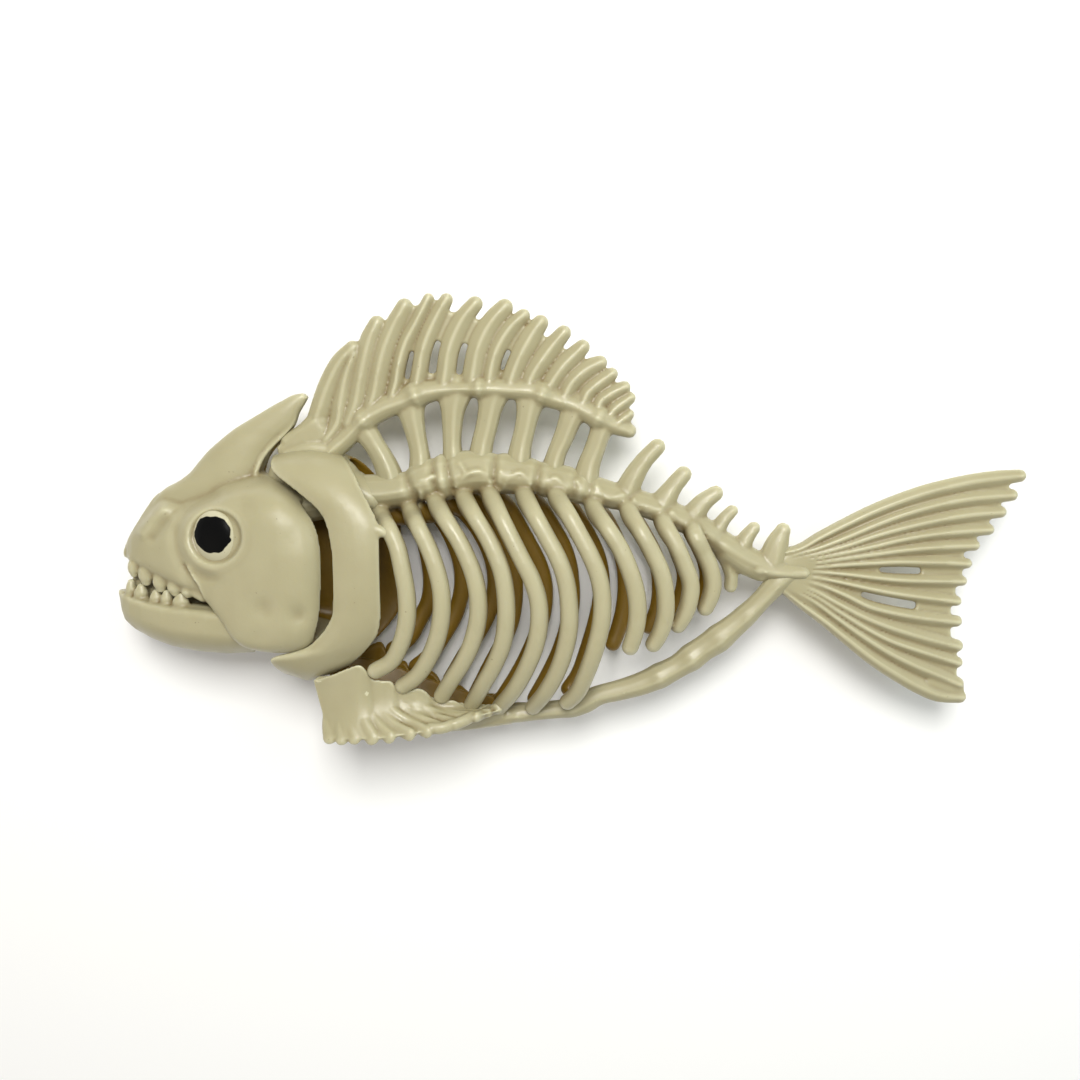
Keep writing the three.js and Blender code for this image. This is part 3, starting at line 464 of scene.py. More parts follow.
def hoop_skin():
    """Round the neck by angle, and across the wall by a rounded-rectangle section (superellipse of power 4). The
    hoop's own line is a superellipse of power 2.5 across and 2.7 up; its section reaches from the front edge to the
    rear edge, which are read at the height where the eye sees the wall. The outer face is slightly crowned."""
    turn = full_turn(240)[:, None]
    angle = full_turn(56)[None, :]
    out_wall = signed(np.cos(angle), 0.5)  # -1 on the inner face, 1 on the outer
    lengthwise = signed(np.sin(angle), 0.5)
    middle, half = (HOOP_TOP + HOOP_BOTTOM) / 2, (HOOP_TOP - HOOP_BOTTOM) / 2
    crown = 1 - 0.5 * lengthwise**2
    shift = HOOP_THICKNESS / 2 * (out_wall * crown - (1 - crown))
    y = middle + signed(np.sin(turn), 2 / 2.5) * (half - HOOP_THICKNESS / 2 + shift)
    z = signed(np.cos(turn), 2 / 2.5) * (HOOP_REACH - HOOP_THICKNESS / 2 + shift)
    level = seen_at(np.stack([np.full_like(y, COLLAR_MIDDLE), y, np.abs(z)], axis=-1))[..., 1]
    front, rear = smooth_read(HOOP_FRONT, level), smooth_read(HOOP_REAR, level)
    along = (front + rear) / 2 + lengthwise * (rear - front) / 2
    x = seen(np.stack([along, level, np.abs(z)], axis=-1))[..., 0]
    points = np.stack([x, y, z], axis=-1)
    rows = np.vstack([points, points[:1]])
    return skin_of(rows)


nape = [
    middle_bone([[-113, 17, 9, 7], [-104, 17.5, 9.5, 8], [-94, 16, 9, 8]]),
    middle_bone([[-96, 20, 5, 9], [-88, 14, 6, 9], [-80, 9, 6, 9]]),
]
tab = bone([[-80, -3, 21, 2.2, 2], [-76.8, -4.8, 21.4, 2, 1.9], [-73.5, -6.2, 20.4, 2, 1.9]])
collar = moulded("collar_moulding", [hoop_skin(), *nape, tab], grain=0.8, soften=4)
fitted(collar, BONE_PLASTIC, "bone_plastic", "collar")

# ---- Skull ----
# Braincase, brow crest, cheek plates and upper jaw in one ivory moulding, with a hollow behind that is open towards
# the collar. Its blunt teeth are moulded on, just inside the lip.
HEAD_HALF = np.array([
    (-182, 2), (-181, 4.4), (-178, 7.4), (-174, 9.6), (-168, 12), (-160, 14.8), (-150, 18), (-140, 20.8),
    (-130, 23.2), (-120, 25), (-112, 25.8), (-95, 25.9),
])
BROW = np.array([(-178, -6), (-165, 4.5), (-155, 7.5), (-147, 11), (-138, 15), (-120, 18)])
HEAD_MIDDLE = (-133, -13)
# The outline from the rear of the cheek over the brow to the snout and back under the jaw: x, y, the height of its
# edge above the middle plane, and the power of the superellipse section there.
HEAD_OUTLINE = np.array([
    (-101.6, -28, 21, 7), (-101.9, -12, 21, 7), (-105, -1, 20, 6), (-111, 8, 17, 5), (-118, 14.5, 12, 3.4),
    (-126, 18, 8, 2.8), (-137, 17.8, 5, 2.5), (-147, 14.6, 4, 2.4), (-155, 13.4, 3, 2.3), (-161, 12.4, 2, 2.2),
    (-167.2, 10, 2, 2.2), (-171.4, 4.5, 2, 2.4), (-175.8, -3, 2, 3.2), (-179.8, -10, 2.5, 4), (-181.3, -15, 4, 5),
    (-178, -17.5, 7, 6), (-168, -22.6, 11, 7), (-160, -26.8, 14, 7), (-152, -30.4, 16, 7), (-147, -34, 17.5, 7),
    (-141.5, -42, 19.5, 7), (-136, -50, 20.5, 7), (-130, -53.4, 21, 7), (-121, -54.6, 21, 7), (-112, -53.9, 21, 7),
    (-106, -50, 21, 7), (-102.6, -41, 21, 7),
])
EYE_PLACE = (-143.2, -7)
CURL = 1.5  # how far back the rear face stands at the middle, before it is pushed in
HOLLOW = 22  # how deep it is pushed in between the cheeks
CHEEK_HEIGHT = 21  # the height of the outline's edge at the cheeks


def line_gap(x, y, line):
    """How far each point is from a bent line: the least distance to its straight spans."""
    gap = np.full(np.shape(x), 1e9)
    for (ax, ay), (bx, by) in zip(line[:-1], line[1:]):
        run = np.clip(((x - ax) * (bx - ax) + (y - ay) * (by - ay)) / ((bx - ax) ** 2 + (by - ay) ** 2), 0, 1)
        gap = np.minimum(gap, np.hypot(x - ax - run * (bx - ax), y - ay - run * (by - ay)))
    return gap


def eased(value, low, high):
    """A soft step from 0 at low to 1 at high: 3t^2 - 2t^3."""
    t = np.clip((value - low) / (high - low), 0, 1)
    return t * t * (3 - 2 * t)


BROW_CREASE = [(-157.6, 6.2), (-154, 7.8), (-150.5, 9.4), (-145.7, 11.4), (-140, 14), (-132, 16), (-126, 17.6)]
NOSTRIL_RIDGE = [(-172, -4.8), (-168.8, 0), (-164, 4.4)]
NOSTRIL_GROOVE = [(-168.2, -7), (-165, -2.8), (-160.8, 2.4)]
CHEEK_EDGE = [(-154.5, -19.5), (-152, -24.5), (-148.3, -31), (-144.3, -37), (-140, -44.6), (-136, -50.4),
              (-131, -53.6)]
DIMPLES = [(-124, -36, 5, 1.5), (-110, -38.6, 4, 1.5), (-132, 6, 4, 0.8), (-126, -47, 5, 0.7), (-112, -8, 6, 0.6),
           (-150, -27, 4, 0.8)]


def superellipse(angle, power):
    """How far across and up |across|^power + |up|^power = 1 lies in the direction of each angle."""
    radius = (np.abs(np.cos(angle)) ** power + np.abs(np.sin(angle)) ** power) ** (-1 / power)
    return radius * np.cos(angle), radius * np.sin(angle)


# Ridges and grooves along lines on the side of the head: the line, how proud it stands, and its reach.
HEAD_LINES = [(BROW_CREASE, -4.4, 4), (NOSTRIL_RIDGE, 1.2, 2.4), (NOSTRIL_GROOVE, -1.4, 2.3)]
CHEEK_STEP = 1.5  # how far the head's side falls in front of the cheek's edge
SOCKET_DEPTH = 1.8


def head_relief(x, y):
    """How far the side of the head stands proud: bells exp(-(gap/reach)^2) along lines, a step at the cheek's edge
    with a narrow bell and a broad one along it, a socket with a raised ring and a hollow round it, and dimples."""
    bell = lambda gap, reach: np.exp(-((gap / reach) ** 2))
    proud = sum(height * bell(line_gap(x, y, line), reach) for line, height, reach in HEAD_LINES)
    edge_gap = line_gap(x, y, CHEEK_EDGE)
    before_edge = (x + 152) * 0.86 + (y + 24) * 0.5 < 0
    proud -= CHEEK_STEP * bell(edge_gap, 3.2) * before_edge - 0.45 * bell(edge_gap, 1.1)
    proud += 0.5 * bell(edge_gap, 2.4) * ~before_edge
    from_eye = np.hypot(x - EYE_PLACE[0], (y - EYE_PLACE[1]) * 0.96)
    proud -= SOCKET_DEPTH * (1 - eased(from_eye, 9.4, 11))
    proud += 0.3 * bell(from_eye - 12, 1.5) - 1.2 * bell(from_eye - 16, 2.2) * eased(-x, 138, 147)
    for dimple_x, dimple_y, reach, depth in DIMPLES:
        proud -= depth * np.exp(-(((x - dimple_x) ** 2 + (y - dimple_y) ** 2) / reach**2))
    return proud


def skull_skin():
    """Two parameters: round the outline, and over it from the right side to the left. The section from the outline
    to the middle is a superellipse whose power changes round the outline; the half-width follows the head's length
    and narrows above the brow. The rear face is rounded off at the cheeks and pushed in between them, and the sides
    carry the relief."""
    count = len(HEAD_OUTLINE)
    knots = np.vstack([HEAD_OUTLINE[-2:], HEAD_OUTLINE, HEAD_OUTLINE[:3]])
    outline = through(knots, np.arange(-2.0, count + 3), np.linspace(0, count, 361)[:-1])
    tilt = np.linspace(-np.pi / 2, np.pi / 2, 281)[:, None]
    reach, rise = superellipse(tilt, outline[None, :, 3])
    edge = seen(outline[:, :3])[None]
    middle = seen([[*HEAD_MIDDLE, 0]])[None]
    flat = middle + (edge - middle) * reach[..., None]
    x, y = flat[..., 0], flat[..., 1]
    half = np.interp(x, *HEAD_HALF.T)
    lift = eased(y - np.interp(x, *BROW.T), -2, 8)
    z = rise * half * (1 - 0.55 * lift)
    level = seen_at(np.stack([x, y, np.abs(z)], axis=-1))
    z = z + np.sign(z) * eased(np.abs(rise), 0.15, 0.45) * head_relief(level[..., 0], level[..., 1])
    at_rear = eased(outline[None, :, 0], -115, -107) * eased(-outline[None, :, 1], -8, 3)
    above_foot = eased(outline[None, :, 1], -50, -42)
    x = x + at_rear * eased(reach, 0.85, 0.97) * np.interp(np.abs(z), [12, 18, 24, 26], [CURL, 1.6, -0.2, -1.8])
    from_rim = half * outline[None, :, 2] / CHEEK_HEIGHT - np.abs(z)
    x = x - (HOLLOW + CURL) * at_rear * above_foot * eased(reach, 0.9, 0.97) * eased(from_rim, 6.5, 12)
    points = np.stack([x, y, z], axis=-1)
    return skin_of(points)


CREST_FRONT = [
    (-168, 7), (-163, 12.4), (-157.4, 15.4), (-152.8, 18.8), (-149, 23.4), (-145, 28), (-140, 32.4), (-135, 36.4),
    (-130, 39.5), (-125, 42.5), (-120, 45.5), (-115, 48.2), (-112, 49.8), (-107.8, 50.6),
]
CREST_REAR = [
    (-128, 4), (-126, 9), (-125.2, 14), (-124.6, 18), (-123.6, 21.5), (-122.2, 25), (-120.4, 28.6), (-117.4, 32),
    (-114, 35.2), (-111.4, 38), (-110, 41), (-109, 43.4), (-107.4, 46), (-105.8, 49),
]
CREST_HALF = np.array([6, 6.8, 7.2, 7.2, 6.9, 6.5, 6, 5.3, 4.9, 4.5, 4.1, 3.6, 3.1, 2.5])
REAR_FOLD = [[-127, 18.5, 4.6, 1.1], [-124.6, 24.5, 3.6, 1.1], [-120.8, 29.5, 2.9, 1.1], [-116.3, 34, 2.3, 1.1],
             [-112.8, 38, 1.8, 1], [-110.8, 43, 1.3, 1]]


def lens(first, second, half_thickness, power, around):
    """A sheet between two lines of equal length in the plane between the halves. At each step its section goes round
    from one line to the other by angle, and is half_thickness * sin(angle)^power deep; the ends close on the sheet's
    middle."""
    angle = full_turn(around)
    share = (0.5 - 0.5 * np.cos(angle))[None, :, None]
    depth = half_thickness * signed(np.sin(angle), power)[None]
    flat = first[:, None] * (1 - share) + second[:, None] * share
    flat = np.concatenate([flat[:1], flat, flat[-1:]])
    depth = np.concatenate([0 * depth[:1], depth, 0 * depth[-1:]])
    points = seen(np.concatenate([flat, np.zeros_like(flat[..., :1])], axis=-1)) + depth[..., None] * [0, 0, 1]
    return skin_of(points)


def blade(front, rear, half_thickness):
    """A blade between two smooth edges, whose half-thickness changes along them."""
    steps = np.linspace(0, len(front) - 1, 60)
    marks = np.arange(len(front))
    first = through(np.array(front, float), marks, steps)
    second = through(np.array(rear, float), marks, steps)
    thick = np.interp(steps, marks, half_thickness)[:, None]
    return lens(first, second, thick, 0.7, 32)


# Teeth along the left side of each jaw: x, the root's y, the tip's y, and the half-width at the root.
UPPER_TEETH = [(-175.4, -18, -21.9, 2.7), (-170.6, -20.6, -24.9, 3.3), (-164.9, -23.6, -27.6, 3.2),
               (-159, -26.4, -29.2, 3.3), (-154, -28.6, -30.2, 2.6)]
LOWER_TEETH = [
    (-176.6, -30.5, -24.8, 2.2), (-172.6, -31.5, -27, 2.9), (-166.6, -33, -29.2, 2.7), (-162.4, -33.6, -29.2, 2.4),
    (-156.8, -34.6, -30.6, 3.3),
]
UPPER_INSET, LOWER_INSET = 3.5, 4.6  # how far inside the head's side each row stands
# What the teeth grow from: a ridge under the upper lip on each side, and a wall in the middle of the mouth.
LIP_RIDGE = [(-175.6, -15), (-173, -16.6), (-168, -19.8), (-160, -24.2), (-153, -27.8), (-148, -30.6)]
GUM_WALL = [[-174.5, -25.5, 4.6, 2], [-169, -27.4, 5.6, 2], [-158, -31, 6, 2], [-146, -35, 6, 2]]


def tooth_row(teeth, inset):
    """Both sides' teeth: blunt cones that stand inset from the head's side."""
    skins = []
    for x, root, tip, half_width in teeth:
        out = np.interp(x, *HEAD_HALF.T) - inset
        tooth = bone([[x, root, out, half_width, 2.2], [x, 0.4 * root + 0.6 * tip, out, half_width, 2.2],
                      [x, tip, out, 0.66 * half_width, 1.6]], blunt=0.8, step=0.6)
        skins += [tooth, mirrored(tooth)]
    return skins


fold = bone(REAR_FOLD)
lip = bone([[x, y, np.interp(x, *HEAD_HALF.T) - 4.2, 2.4, 1.8] for x, y in LIP_RIDGE], step=0.8)
skull = moulded("skull_moulding", [
    skull_skin(), blade(CREST_FRONT, CREST_REAR, CREST_HALF), fold, mirrored(fold),
    lip, mirrored(lip), middle_bone(GUM_WALL, blunt=0.5), *tooth_row(UPPER_TEETH, UPPER_INSET),
], grain=0.7, soften=3)
fitted(skull, BONE_PLASTIC, "bone_plastic", "skull")

# ---- Lower jaw ----
# A block of the same plastic, round at the chin, with a ledge below the gum. Its blunt teeth stand on the gum, and
# its rear end is set between the cheek plates.
JAW_LEDGE = np.array([(-182, -27.2), (-181, -28.2), (-180.4, -29.2), (-175, -31), (-168, -32.6), (-160, -33.7),
                      (-146, -34.8), (-120, -38)])
JAW_BOTTOM = np.array([
    (-182, -28.6), (-181.2, -31), (-180.4, -36), (-179, -40), (-175, -43.6), (-168, -47.4), (-160, -50.4),
    (-150, -52.4), (-138, -53.4), (-120, -52.6),
])
JAW_HALF = np.array([
    (-182, 0.4), (-181.5, 1.8), (-180, 5.2), (-177, 8.4), (-172, 11.4), (-164, 14.6), (-154, 17), (-146, 18.2),
    (-120, 18.8),
])


def jaw_block(front, rear, top, bottom, inset, power):
    """Along x from the chin to the rear, with rounds at both ends, and round a superellipse section between the top
    and bottom lines; the lower half narrows by 0.35 times the square of its depth."""
    s = np.linspace(0, 1, 90)[:, None]
    x = front + (rear - front) * s**1.6 + 0 * s
    angle = full_turn(64)[None]
    out, up = superellipse(angle, power)
    high, low = np.interp(x, *top.T), np.interp(x, *bottom.T)
    half = np.clip(np.interp(x, *JAW_HALF.T) - inset, 0.3, None) * (1 - 0.35 * np.clip(-up, 0, 1) ** 2)
    y = (high + low) / 2 + up * (high - low) / 2
    z = out * half
    close = np.where((s <= 0) | (s >= 1), 0.0, 1.0)
    y, z = (high + low) / 2 + (y - (high + low) / 2) * close, z * close
    flat = seen(np.stack([x + 0 * y, y, np.abs(z) * 0.85], axis=-1))
    points = np.stack([flat[..., 0], flat[..., 1], z], axis=-1)
    return skin_of(points)


GUM_TOP = JAW_LEDGE + [0, 1.3]
lower_jaw = moulded("lower_jaw_moulding", [
    jaw_block(-181.6, -126, JAW_LEDGE, JAW_BOTTOM, 0, 5),
    jaw_block(-180.2, -128, GUM_TOP, JAW_BOTTOM + [0, 3], 2.8, 4),
    *tooth_row(LOWER_TEETH, LOWER_INSET),
], grain=0.6, soften=4)
fitted(lower_jaw, BONE_PLASTIC, "bone_plastic", "lower_jaw")

# ---- Eyes ----
# A low dome of ivory plastic set in each socket. Its pupil is painted black, with an edge that isn't quite round.
EYE_DOME = (*EYE_PLACE, 17.4)
EYE_SIZE = (9.4, 10.4, 4.1)
EYE_LEAN = 0.26  # how much its rear rim stands out beyond its front rim, as the head's side does


def dome(place, half_width, half_height, depth):
    """An ellipsoid by latitude and longitude about a point, its poles towards and away from the eye."""
    latitude = np.linspace(-np.pi / 2, np.pi / 2, 61)[:, None]
    longitude = full_turn(96)[None]
    middle = seen([place])[0]
    points = np.stack([
        middle[0] + half_width * np.cos(latitude) * np.cos(longitude),
        middle[1] + half_height * np.cos(latitude) * np.sin(longitude),
        middle[2] + depth * np.sin(latitude) + EYE_LEAN * half_width * np.cos(latitude) * np.cos(longitude),
    ], axis=-1)
    return skin_of(points)


PUPIL_RADIUS, PUPIL_WAVER, PUPIL_SQUEEZE = 0.0081, 0.0022, 0.88  # metres, metres, and height against width
PUPIL_SHIFT = (0.0001, -0.0013)  # metres, added to the pattern's place


def painted_eye():
    """Ivory with a black pupil: paint covers what lies where distance + PUPIL_WAVER * noise from the eye's axis is
    under PUPIL_RADIUS."""
    finish = ivory_plastic("eye_paint", Skin=(0.5, 0.47, 0.33, 1))
    tree = finish.node_tree
    link = tree.links.new
    plastic, pattern = tree.nodes["Principled BSDF"], next(node for node in tree.nodes if node.type == "GROUP")
    plastic.inputs["Subsurface Weight"].default_value = 0
    plastic.inputs["Specular IOR Level"].default_value = 0.04
    centre = (seen([EYE_DOME])[0] + DRAWING_TO_FLOOR) * MILLIMETRE
    place = new_node(tree, "TexCoord")
    shifted = new_node(tree, "Mapping", Scale=(PUPIL_SQUEEZE, 1, 0), Location=(
        -PUPIL_SQUEEZE * centre[0] + PUPIL_SHIFT[0], -centre[1] + PUPIL_SHIFT[1], 0))
    link(place.outputs["Object"], shifted.inputs["Vector"])
    waver = new_node(tree, "TexNoise", Scale=260, Detail=1.5)
    link(shifted.outputs["Vector"], waver.inputs["Vector"])
    length = new_node(tree, "VectorMath", "LENGTH")
    link(shifted.outputs["Vector"], length.inputs[0])
    wide = new_node(tree, "Math", "MULTIPLY_ADD")
    wide.inputs[1].default_value = PUPIL_WAVER
    link(waver.outputs["Fac"], wide.inputs[0])
    link(length.outputs["Value"], wide.inputs[2])
    paint = new_node(tree, "MapRange", From_Min=PUPIL_RADIUS, From_Max=PUPIL_RADIUS + 0.0002, To_Min=1, To_Max=0)
    link(wide.outputs[0], paint.inputs["Value"])
    coat = new_node(tree, "Mix")
    coat.data_type = "RGBA"
    coat.inputs[7].default_value = (0.004, 0.004, 0.004, 1)
    link(paint.outputs["Result"], coat.inputs["Factor"])
    link(pattern.outputs["Colour"], coat.inputs[6])
    link(coat.outputs[2], plastic.inputs["Base Color"])
    return finish


EYE_PAINT = painted_eye()
eye_left = moulded("eye_left_moulding", [dome(EYE_DOME, *EYE_SIZE)], grain=0.45, soften=2)
fitted(eye_left, EYE_PAINT, "eye_paint", "eye_left")
eye_right = moulded("eye_right_moulding", [mirrored(dome(EYE_DOME, *EYE_SIZE))], grain=0.45, soften=2)
fitted(eye_right, EYE_PAINT, "eye_paint", "eye_right")

# ---- Dorsal fin ----
# A jointed bar of ivory plastic on seven struts, with a fan of ridged rays. A thin web joins the rays, and it is
# open in four narrow slots. The fin is moulded in one with the struts and set on the back.
BAR = [
    [-103, 23.5, 4.38, 5.3], [-96, 28, 4.49, 5.3], [-90, 33.2, 4.27, 4.84], [-85, 38.4, 4.27, 4.84],
    [-80, 42.2, 4.82, 5.07], [-75, 44.8, 4.71, 5.07], [-68, 47.4, 4.6, 5.07], [-62, 50, 5.04, 5.3],
    [-55, 51.6, 4.16, 4.96], [-45, 52.3, 3.39, 4.72], [-35, 52.5, 4.05, 5.07], [-25, 52, 4.05, 5.07],
    [-15, 51.1, 4.6, 5.07], [-8, 48.6, 4.27, 4.84], [0, 46, 3.94, 4.61], [8, 42, 4.49, 4.84],
    [15, 38.6, 4.16, 4.38], [22.4, 35.5, 2.95, 3.45],
]
BAR_JOINTS = [(-83, 0.32, 2), (-62, 0.32, 2.2), (-37, 0.34, 1.9), (-12, 0.32, 2.2), (10, 0.32, 2.2)]
STRUTS = [
    [[-86, 37.5, 4.74, 3.94], [-83, 35, 4.95, 3.94], [-79.5, 30, 4.41, 3.74], [-76.2, 24.5, 4.63, 4.05],
     [-73.5, 18, 5.38, 4.98], [-72.5, 13, 5.82, 5.4]],
    [[-65.5, 47, 7.11, 3.94], [-64.3, 41, 5.17, 3.84], [-62.6, 33, 4.2, 3.63], [-61.4, 27, 4.09, 3.84],
     [-61, 21.5, 4.74, 4.78], [-61, 17, 5.38, 5.4]],
    [[-47.5, 50.5, 7.76, 3.94], [-48, 44, 5.17, 3.84], [-48.3, 36, 4.09, 3.63], [-48.3, 30, 3.87, 3.74],
     [-48, 25.5, 4.2, 4.36], [-48, 20, 4.52, 4.98]],
    [[-32, 50.5, 7.11, 3.94], [-33, 45, 5.17, 3.84], [-34.6, 37, 4.52, 3.74], [-36.1, 31, 4.52, 3.94],
     [-37, 26, 4.74, 4.57], [-38, 20, 4.95, 5.19]],
    [[-16.5, 50, 7.54, 3.94], [-17.7, 44, 5.17, 3.84], [-19.3, 36, 4.3, 3.63], [-20.7, 30, 4.41, 3.94],
     [-21.7, 24, 5.06, 4.78], [-22.5, 18, 5.82, 5.4]],
    [[1, 45, 6.25, 3.74], [-1, 40, 4.84, 3.63], [-3.7, 33, 4.2, 3.53], [-6.5, 26.5, 3.98, 3.74],
     [-8.2, 20.5, 4.52, 4.36], [-9.5, 15, 5.17, 5.19]],
    [[12.5, 39, 5.6, 3.53], [11, 35, 4.52, 3.53], [8.6, 28, 4.3, 3.53], [6.4, 22, 4.63, 3.94],
     [5.2, 16.5, 5.38, 4.78], [4.5, 12, 6.03, 4.98]],
]
# A strut's section has its ridge a little towards the tail; a ray's has it in the middle, with hollow flanks.
STRUT_SECTION = two_faced([(1, 0), (0.8, 0.6), (0.3, 0.98), (0.1, 0.98), (-0.5, 0.76), (-0.88, 0.42), (-1, 0)])
RAY_SECTION = two_faced([
    (1, 0.2), (0.8, 0.5), (0.42, 0.76), (0.08, 1), (-0.16, 0.98), (-0.5, 0.76), (-0.84, 0.48), (-1, 0.2),
])
RAYS = [
    (4.2, [(-106, 30), (-103.5, 36), (-101, 44), (-97.5, 54), (-92.5, 63.5), (-88, 68.3)]),
    (3.8, [(-98, 32), (-94, 38), (-92.5, 47), (-90.6, 57), (-87.5, 66)]),
    (4.3, [(-89, 39), (-86.6, 46), (-85, 55), (-83, 65), (-80.8, 73), (-78.4, 78.2)]),
    (4.2, [(-81, 44), (-79.2, 50), (-77.8, 58), (-75.4, 68), (-71.8, 77), (-67.4, 85.2)]),
    (2.8, [(-72, 49), (-70.6, 54), (-69.5, 61), (-67, 70), (-62.4, 79), (-57.8, 88.4)]),
    (3.4, [(-62.3, 54), (-61.2, 60), (-60.2, 66), (-57.2, 75), (-53.6, 82.5), (-50.6, 87.9)]),
    (4, [(-51.5, 54), (-50.6, 60), (-49.8, 66), (-47.4, 73.5), (-43.4, 81), (-39.2, 86.2)]),
    (4.4, [(-40.5, 54), (-39.4, 61), (-38.2, 67), (-35.5, 74), (-31.4, 80.4), (-27.4, 84.8)]),
    (3.4, [(-33.5, 54), (-32.6, 60), (-31.4, 65), (-28.2, 72), (-23.6, 78.2), (-19.8, 81.6)]),
    (4.1, [(-25.5, 53), (-23.6, 59), (-21.4, 64.5), (-18, 71), (-15.2, 75.6), (-13, 78.6)]),
    (3.9, [(-18.5, 52), (-15.4, 59), (-11.8, 64.4), (-7.8, 69.8), (-3.8, 74.6)]),
    (3.8, [(-11, 50), (-7.4, 56.4), (-3.4, 61.8), (0.6, 65.8), (3.8, 69)]),
    (3.7, [(-4, 47.5), (-0.6, 54.4), (3.6, 58.6), (8, 61.4), (10.8, 62.7)]),
    (3.3, [(3.5, 45), (6, 50.8), (9.6, 54), (13, 56.5), (15.4, 58.2)]),
    (3.1, [(9, 42), (11.4, 47.6), (14.6, 49.9), (18, 51.8), (20.6, 53)]),
    (3, [(14, 39), (16, 43.6), (18.4, 45.6), (21, 47.4), (22.8, 48.6)]),
    (2.7, [(17, 37.6), (19.4, 39.8), (21.4, 41.2), (22.4, 42)]),
]
# The web between each ray and the next ends at the height of its notch, and a slot interrupts it between two heights.
NOTCHES = [69, 71.5, 79.6, 86, 87.6, 83, 80, 80, 77, 73, 68, 63, 59.5, 53.4, 49.6, 45]
SLOTS = {4: (56, 67.5), 5: (58.5, 71.5), 6: (58, 70.5), 8: (58.7, 67.8)}


WEB_HALF = 0.95  # half a web's thickness


def part_of(line, axis, start, end, count, fine):
    """A bent line's points, evenly spaced from start to end in x (axis 0) or in y (axis 1)."""
    line = np.array(line, float)
    smooth = through(line, np.arange(len(line)), np.linspace(0, len(line) - 1, fine))
    at = np.linspace(start, end, count)
    return np.stack([at if k == axis else np.interp(at, smooth[:, axis], smooth[:, k]) for k in (0, 1)], axis=1)


def web(first, second, half_thickness):
    """A thin flat sheet with rounded edges between two lines."""
    return lens(first, second, np.full((len(first), 1), half_thickness), 0.4, 16)


def webs(rays, notches, slots, axis, foot, count, fine):
    """The webs between neighbouring rays, from the foot to each notch, with the slots left open."""
    skins = []
    for i, notch in enumerate(notches):
        pair = [rays[i][1], rays[i + 1][1]]
        stops = [max(foot, *[line[0][axis] for line in pair]), *slots.get(i, ()), notch]
        for start, end in zip(stops[::2], stops[1::2]):
            lines = [part_of(line, axis, start, min(end, line[-1][axis]), count, fine) for line in pair]
            skins.append(web(*lines, WEB_HALF))
    return skins


def ray(half_width, line):
    """A fin ray: full for most of its length, and narrower towards its round tip."""
    x, y = np.array(line, float).T
    share = np.linspace(0, 1, len(x))
    width = half_width * np.interp(share, [0, 0.65, 1], [1, 1, 0.78])
    return middle_bone(np.stack([x, y, width, 4 - 1.3 * share], axis=1), RAY_SECTION, step=0.9)


# The fin's front foot, a broad flat shield on the nape.
shield_front = np.array([(-117.5, 25), (-118.5, 29), (-113, 34.5), (-108.5, 37), (-104, 39.4)])
shield_rear = np.array([(-96, 24), (-96, 28), (-96.5, 33), (-98, 37), (-101, 40.4)])
shield = [
    web(shield_front, shield_rear, 3.9),
    middle_bone([[-113, 31, 4, 3.6], [-107, 34, 4.6, 3.8], [-102, 39, 4.6, 3.6]]),
    middle_bone([[-113, 26, 4, 4.5], [-104, 28, 5, 5], [-97, 27, 5, 5]]),
]
dorsal_fin = moulded("dorsal_fin_moulding", [
    middle_bone(BAR, PRONG_SECTION, joints=BAR_JOINTS, step=0.8),
    *[middle_bone(strut, STRUT_SECTION) for strut in STRUTS],
    *[ray(*each) for each in RAYS], *webs(RAYS, NOTCHES, SLOTS, axis=1, foot=0, count=12, fine=200), *shield,
], grain=0.6, soften=4)
fitted(dorsal_fin, BONE_PLASTIC, "bone_plastic", "dorsal_fin")

# ---- Keel ----
# A trough under the chest that the rib tips stand in, and a jointed bar that runs back from it to the tail. Both
# are one ivory moulding.
KEEL_BAR = [
    [-44, -79, 4.2, 5], [-34, -78.2, 4.4, 5], [-24, -77.3, 4.1, 4.8], [-16, -76.7, 3.9, 4.4], [-8, -76, 3.8, 4.2],
    [0, -75, 4.1, 4.6], [5, -72.8, 4.8, 4.6], [10, -70.4, 4.2, 4.4], [18, -68.4, 4.4, 4.4],
    [28, -65.4, 4.9, 4.7], [35, -62.3, 5.2, 5], [42, -58.6, 5.0, 4.6], [48, -54.6, 5.6, 5], [52, -51.7, 5.4, 4.6],
    [57, -48.4, 5.7, 4.9], [64, -42.8, 5.1, 4.6], [70, -37.5, 4.5, 4.4], [76, -31.4, 4.2, 4.3],
    [82, -25, 4.8, 4.4], [86, -21.5, 5, 4.2],
]
KEEL_JOINTS = [(-22, 0.1, 2.2), (0, 0.1, 2.2), (35, 0.11, 2.3), (47.5, 0.1, 2.2), (59, 0.1, 2.2), (69.5, 0.09, 2)]
CHEST_RIM = np.array([(-104, -63), (-90, -61.5), (-75, -65), (-60, -70), (-45, -74), (-28, -76)])
CHEST_HALF = np.array([(-104, 13), (-90, 16), (-75, 14.5), (-60, 12.5), (-45, 9.5), (-28, 5.5)])
CHEST_FLOOR = np.array([(-104, -70), (-90, -76.8), (-75, -83), (-60, -86.4), (-45, -85.2), (-28, -82.4)])


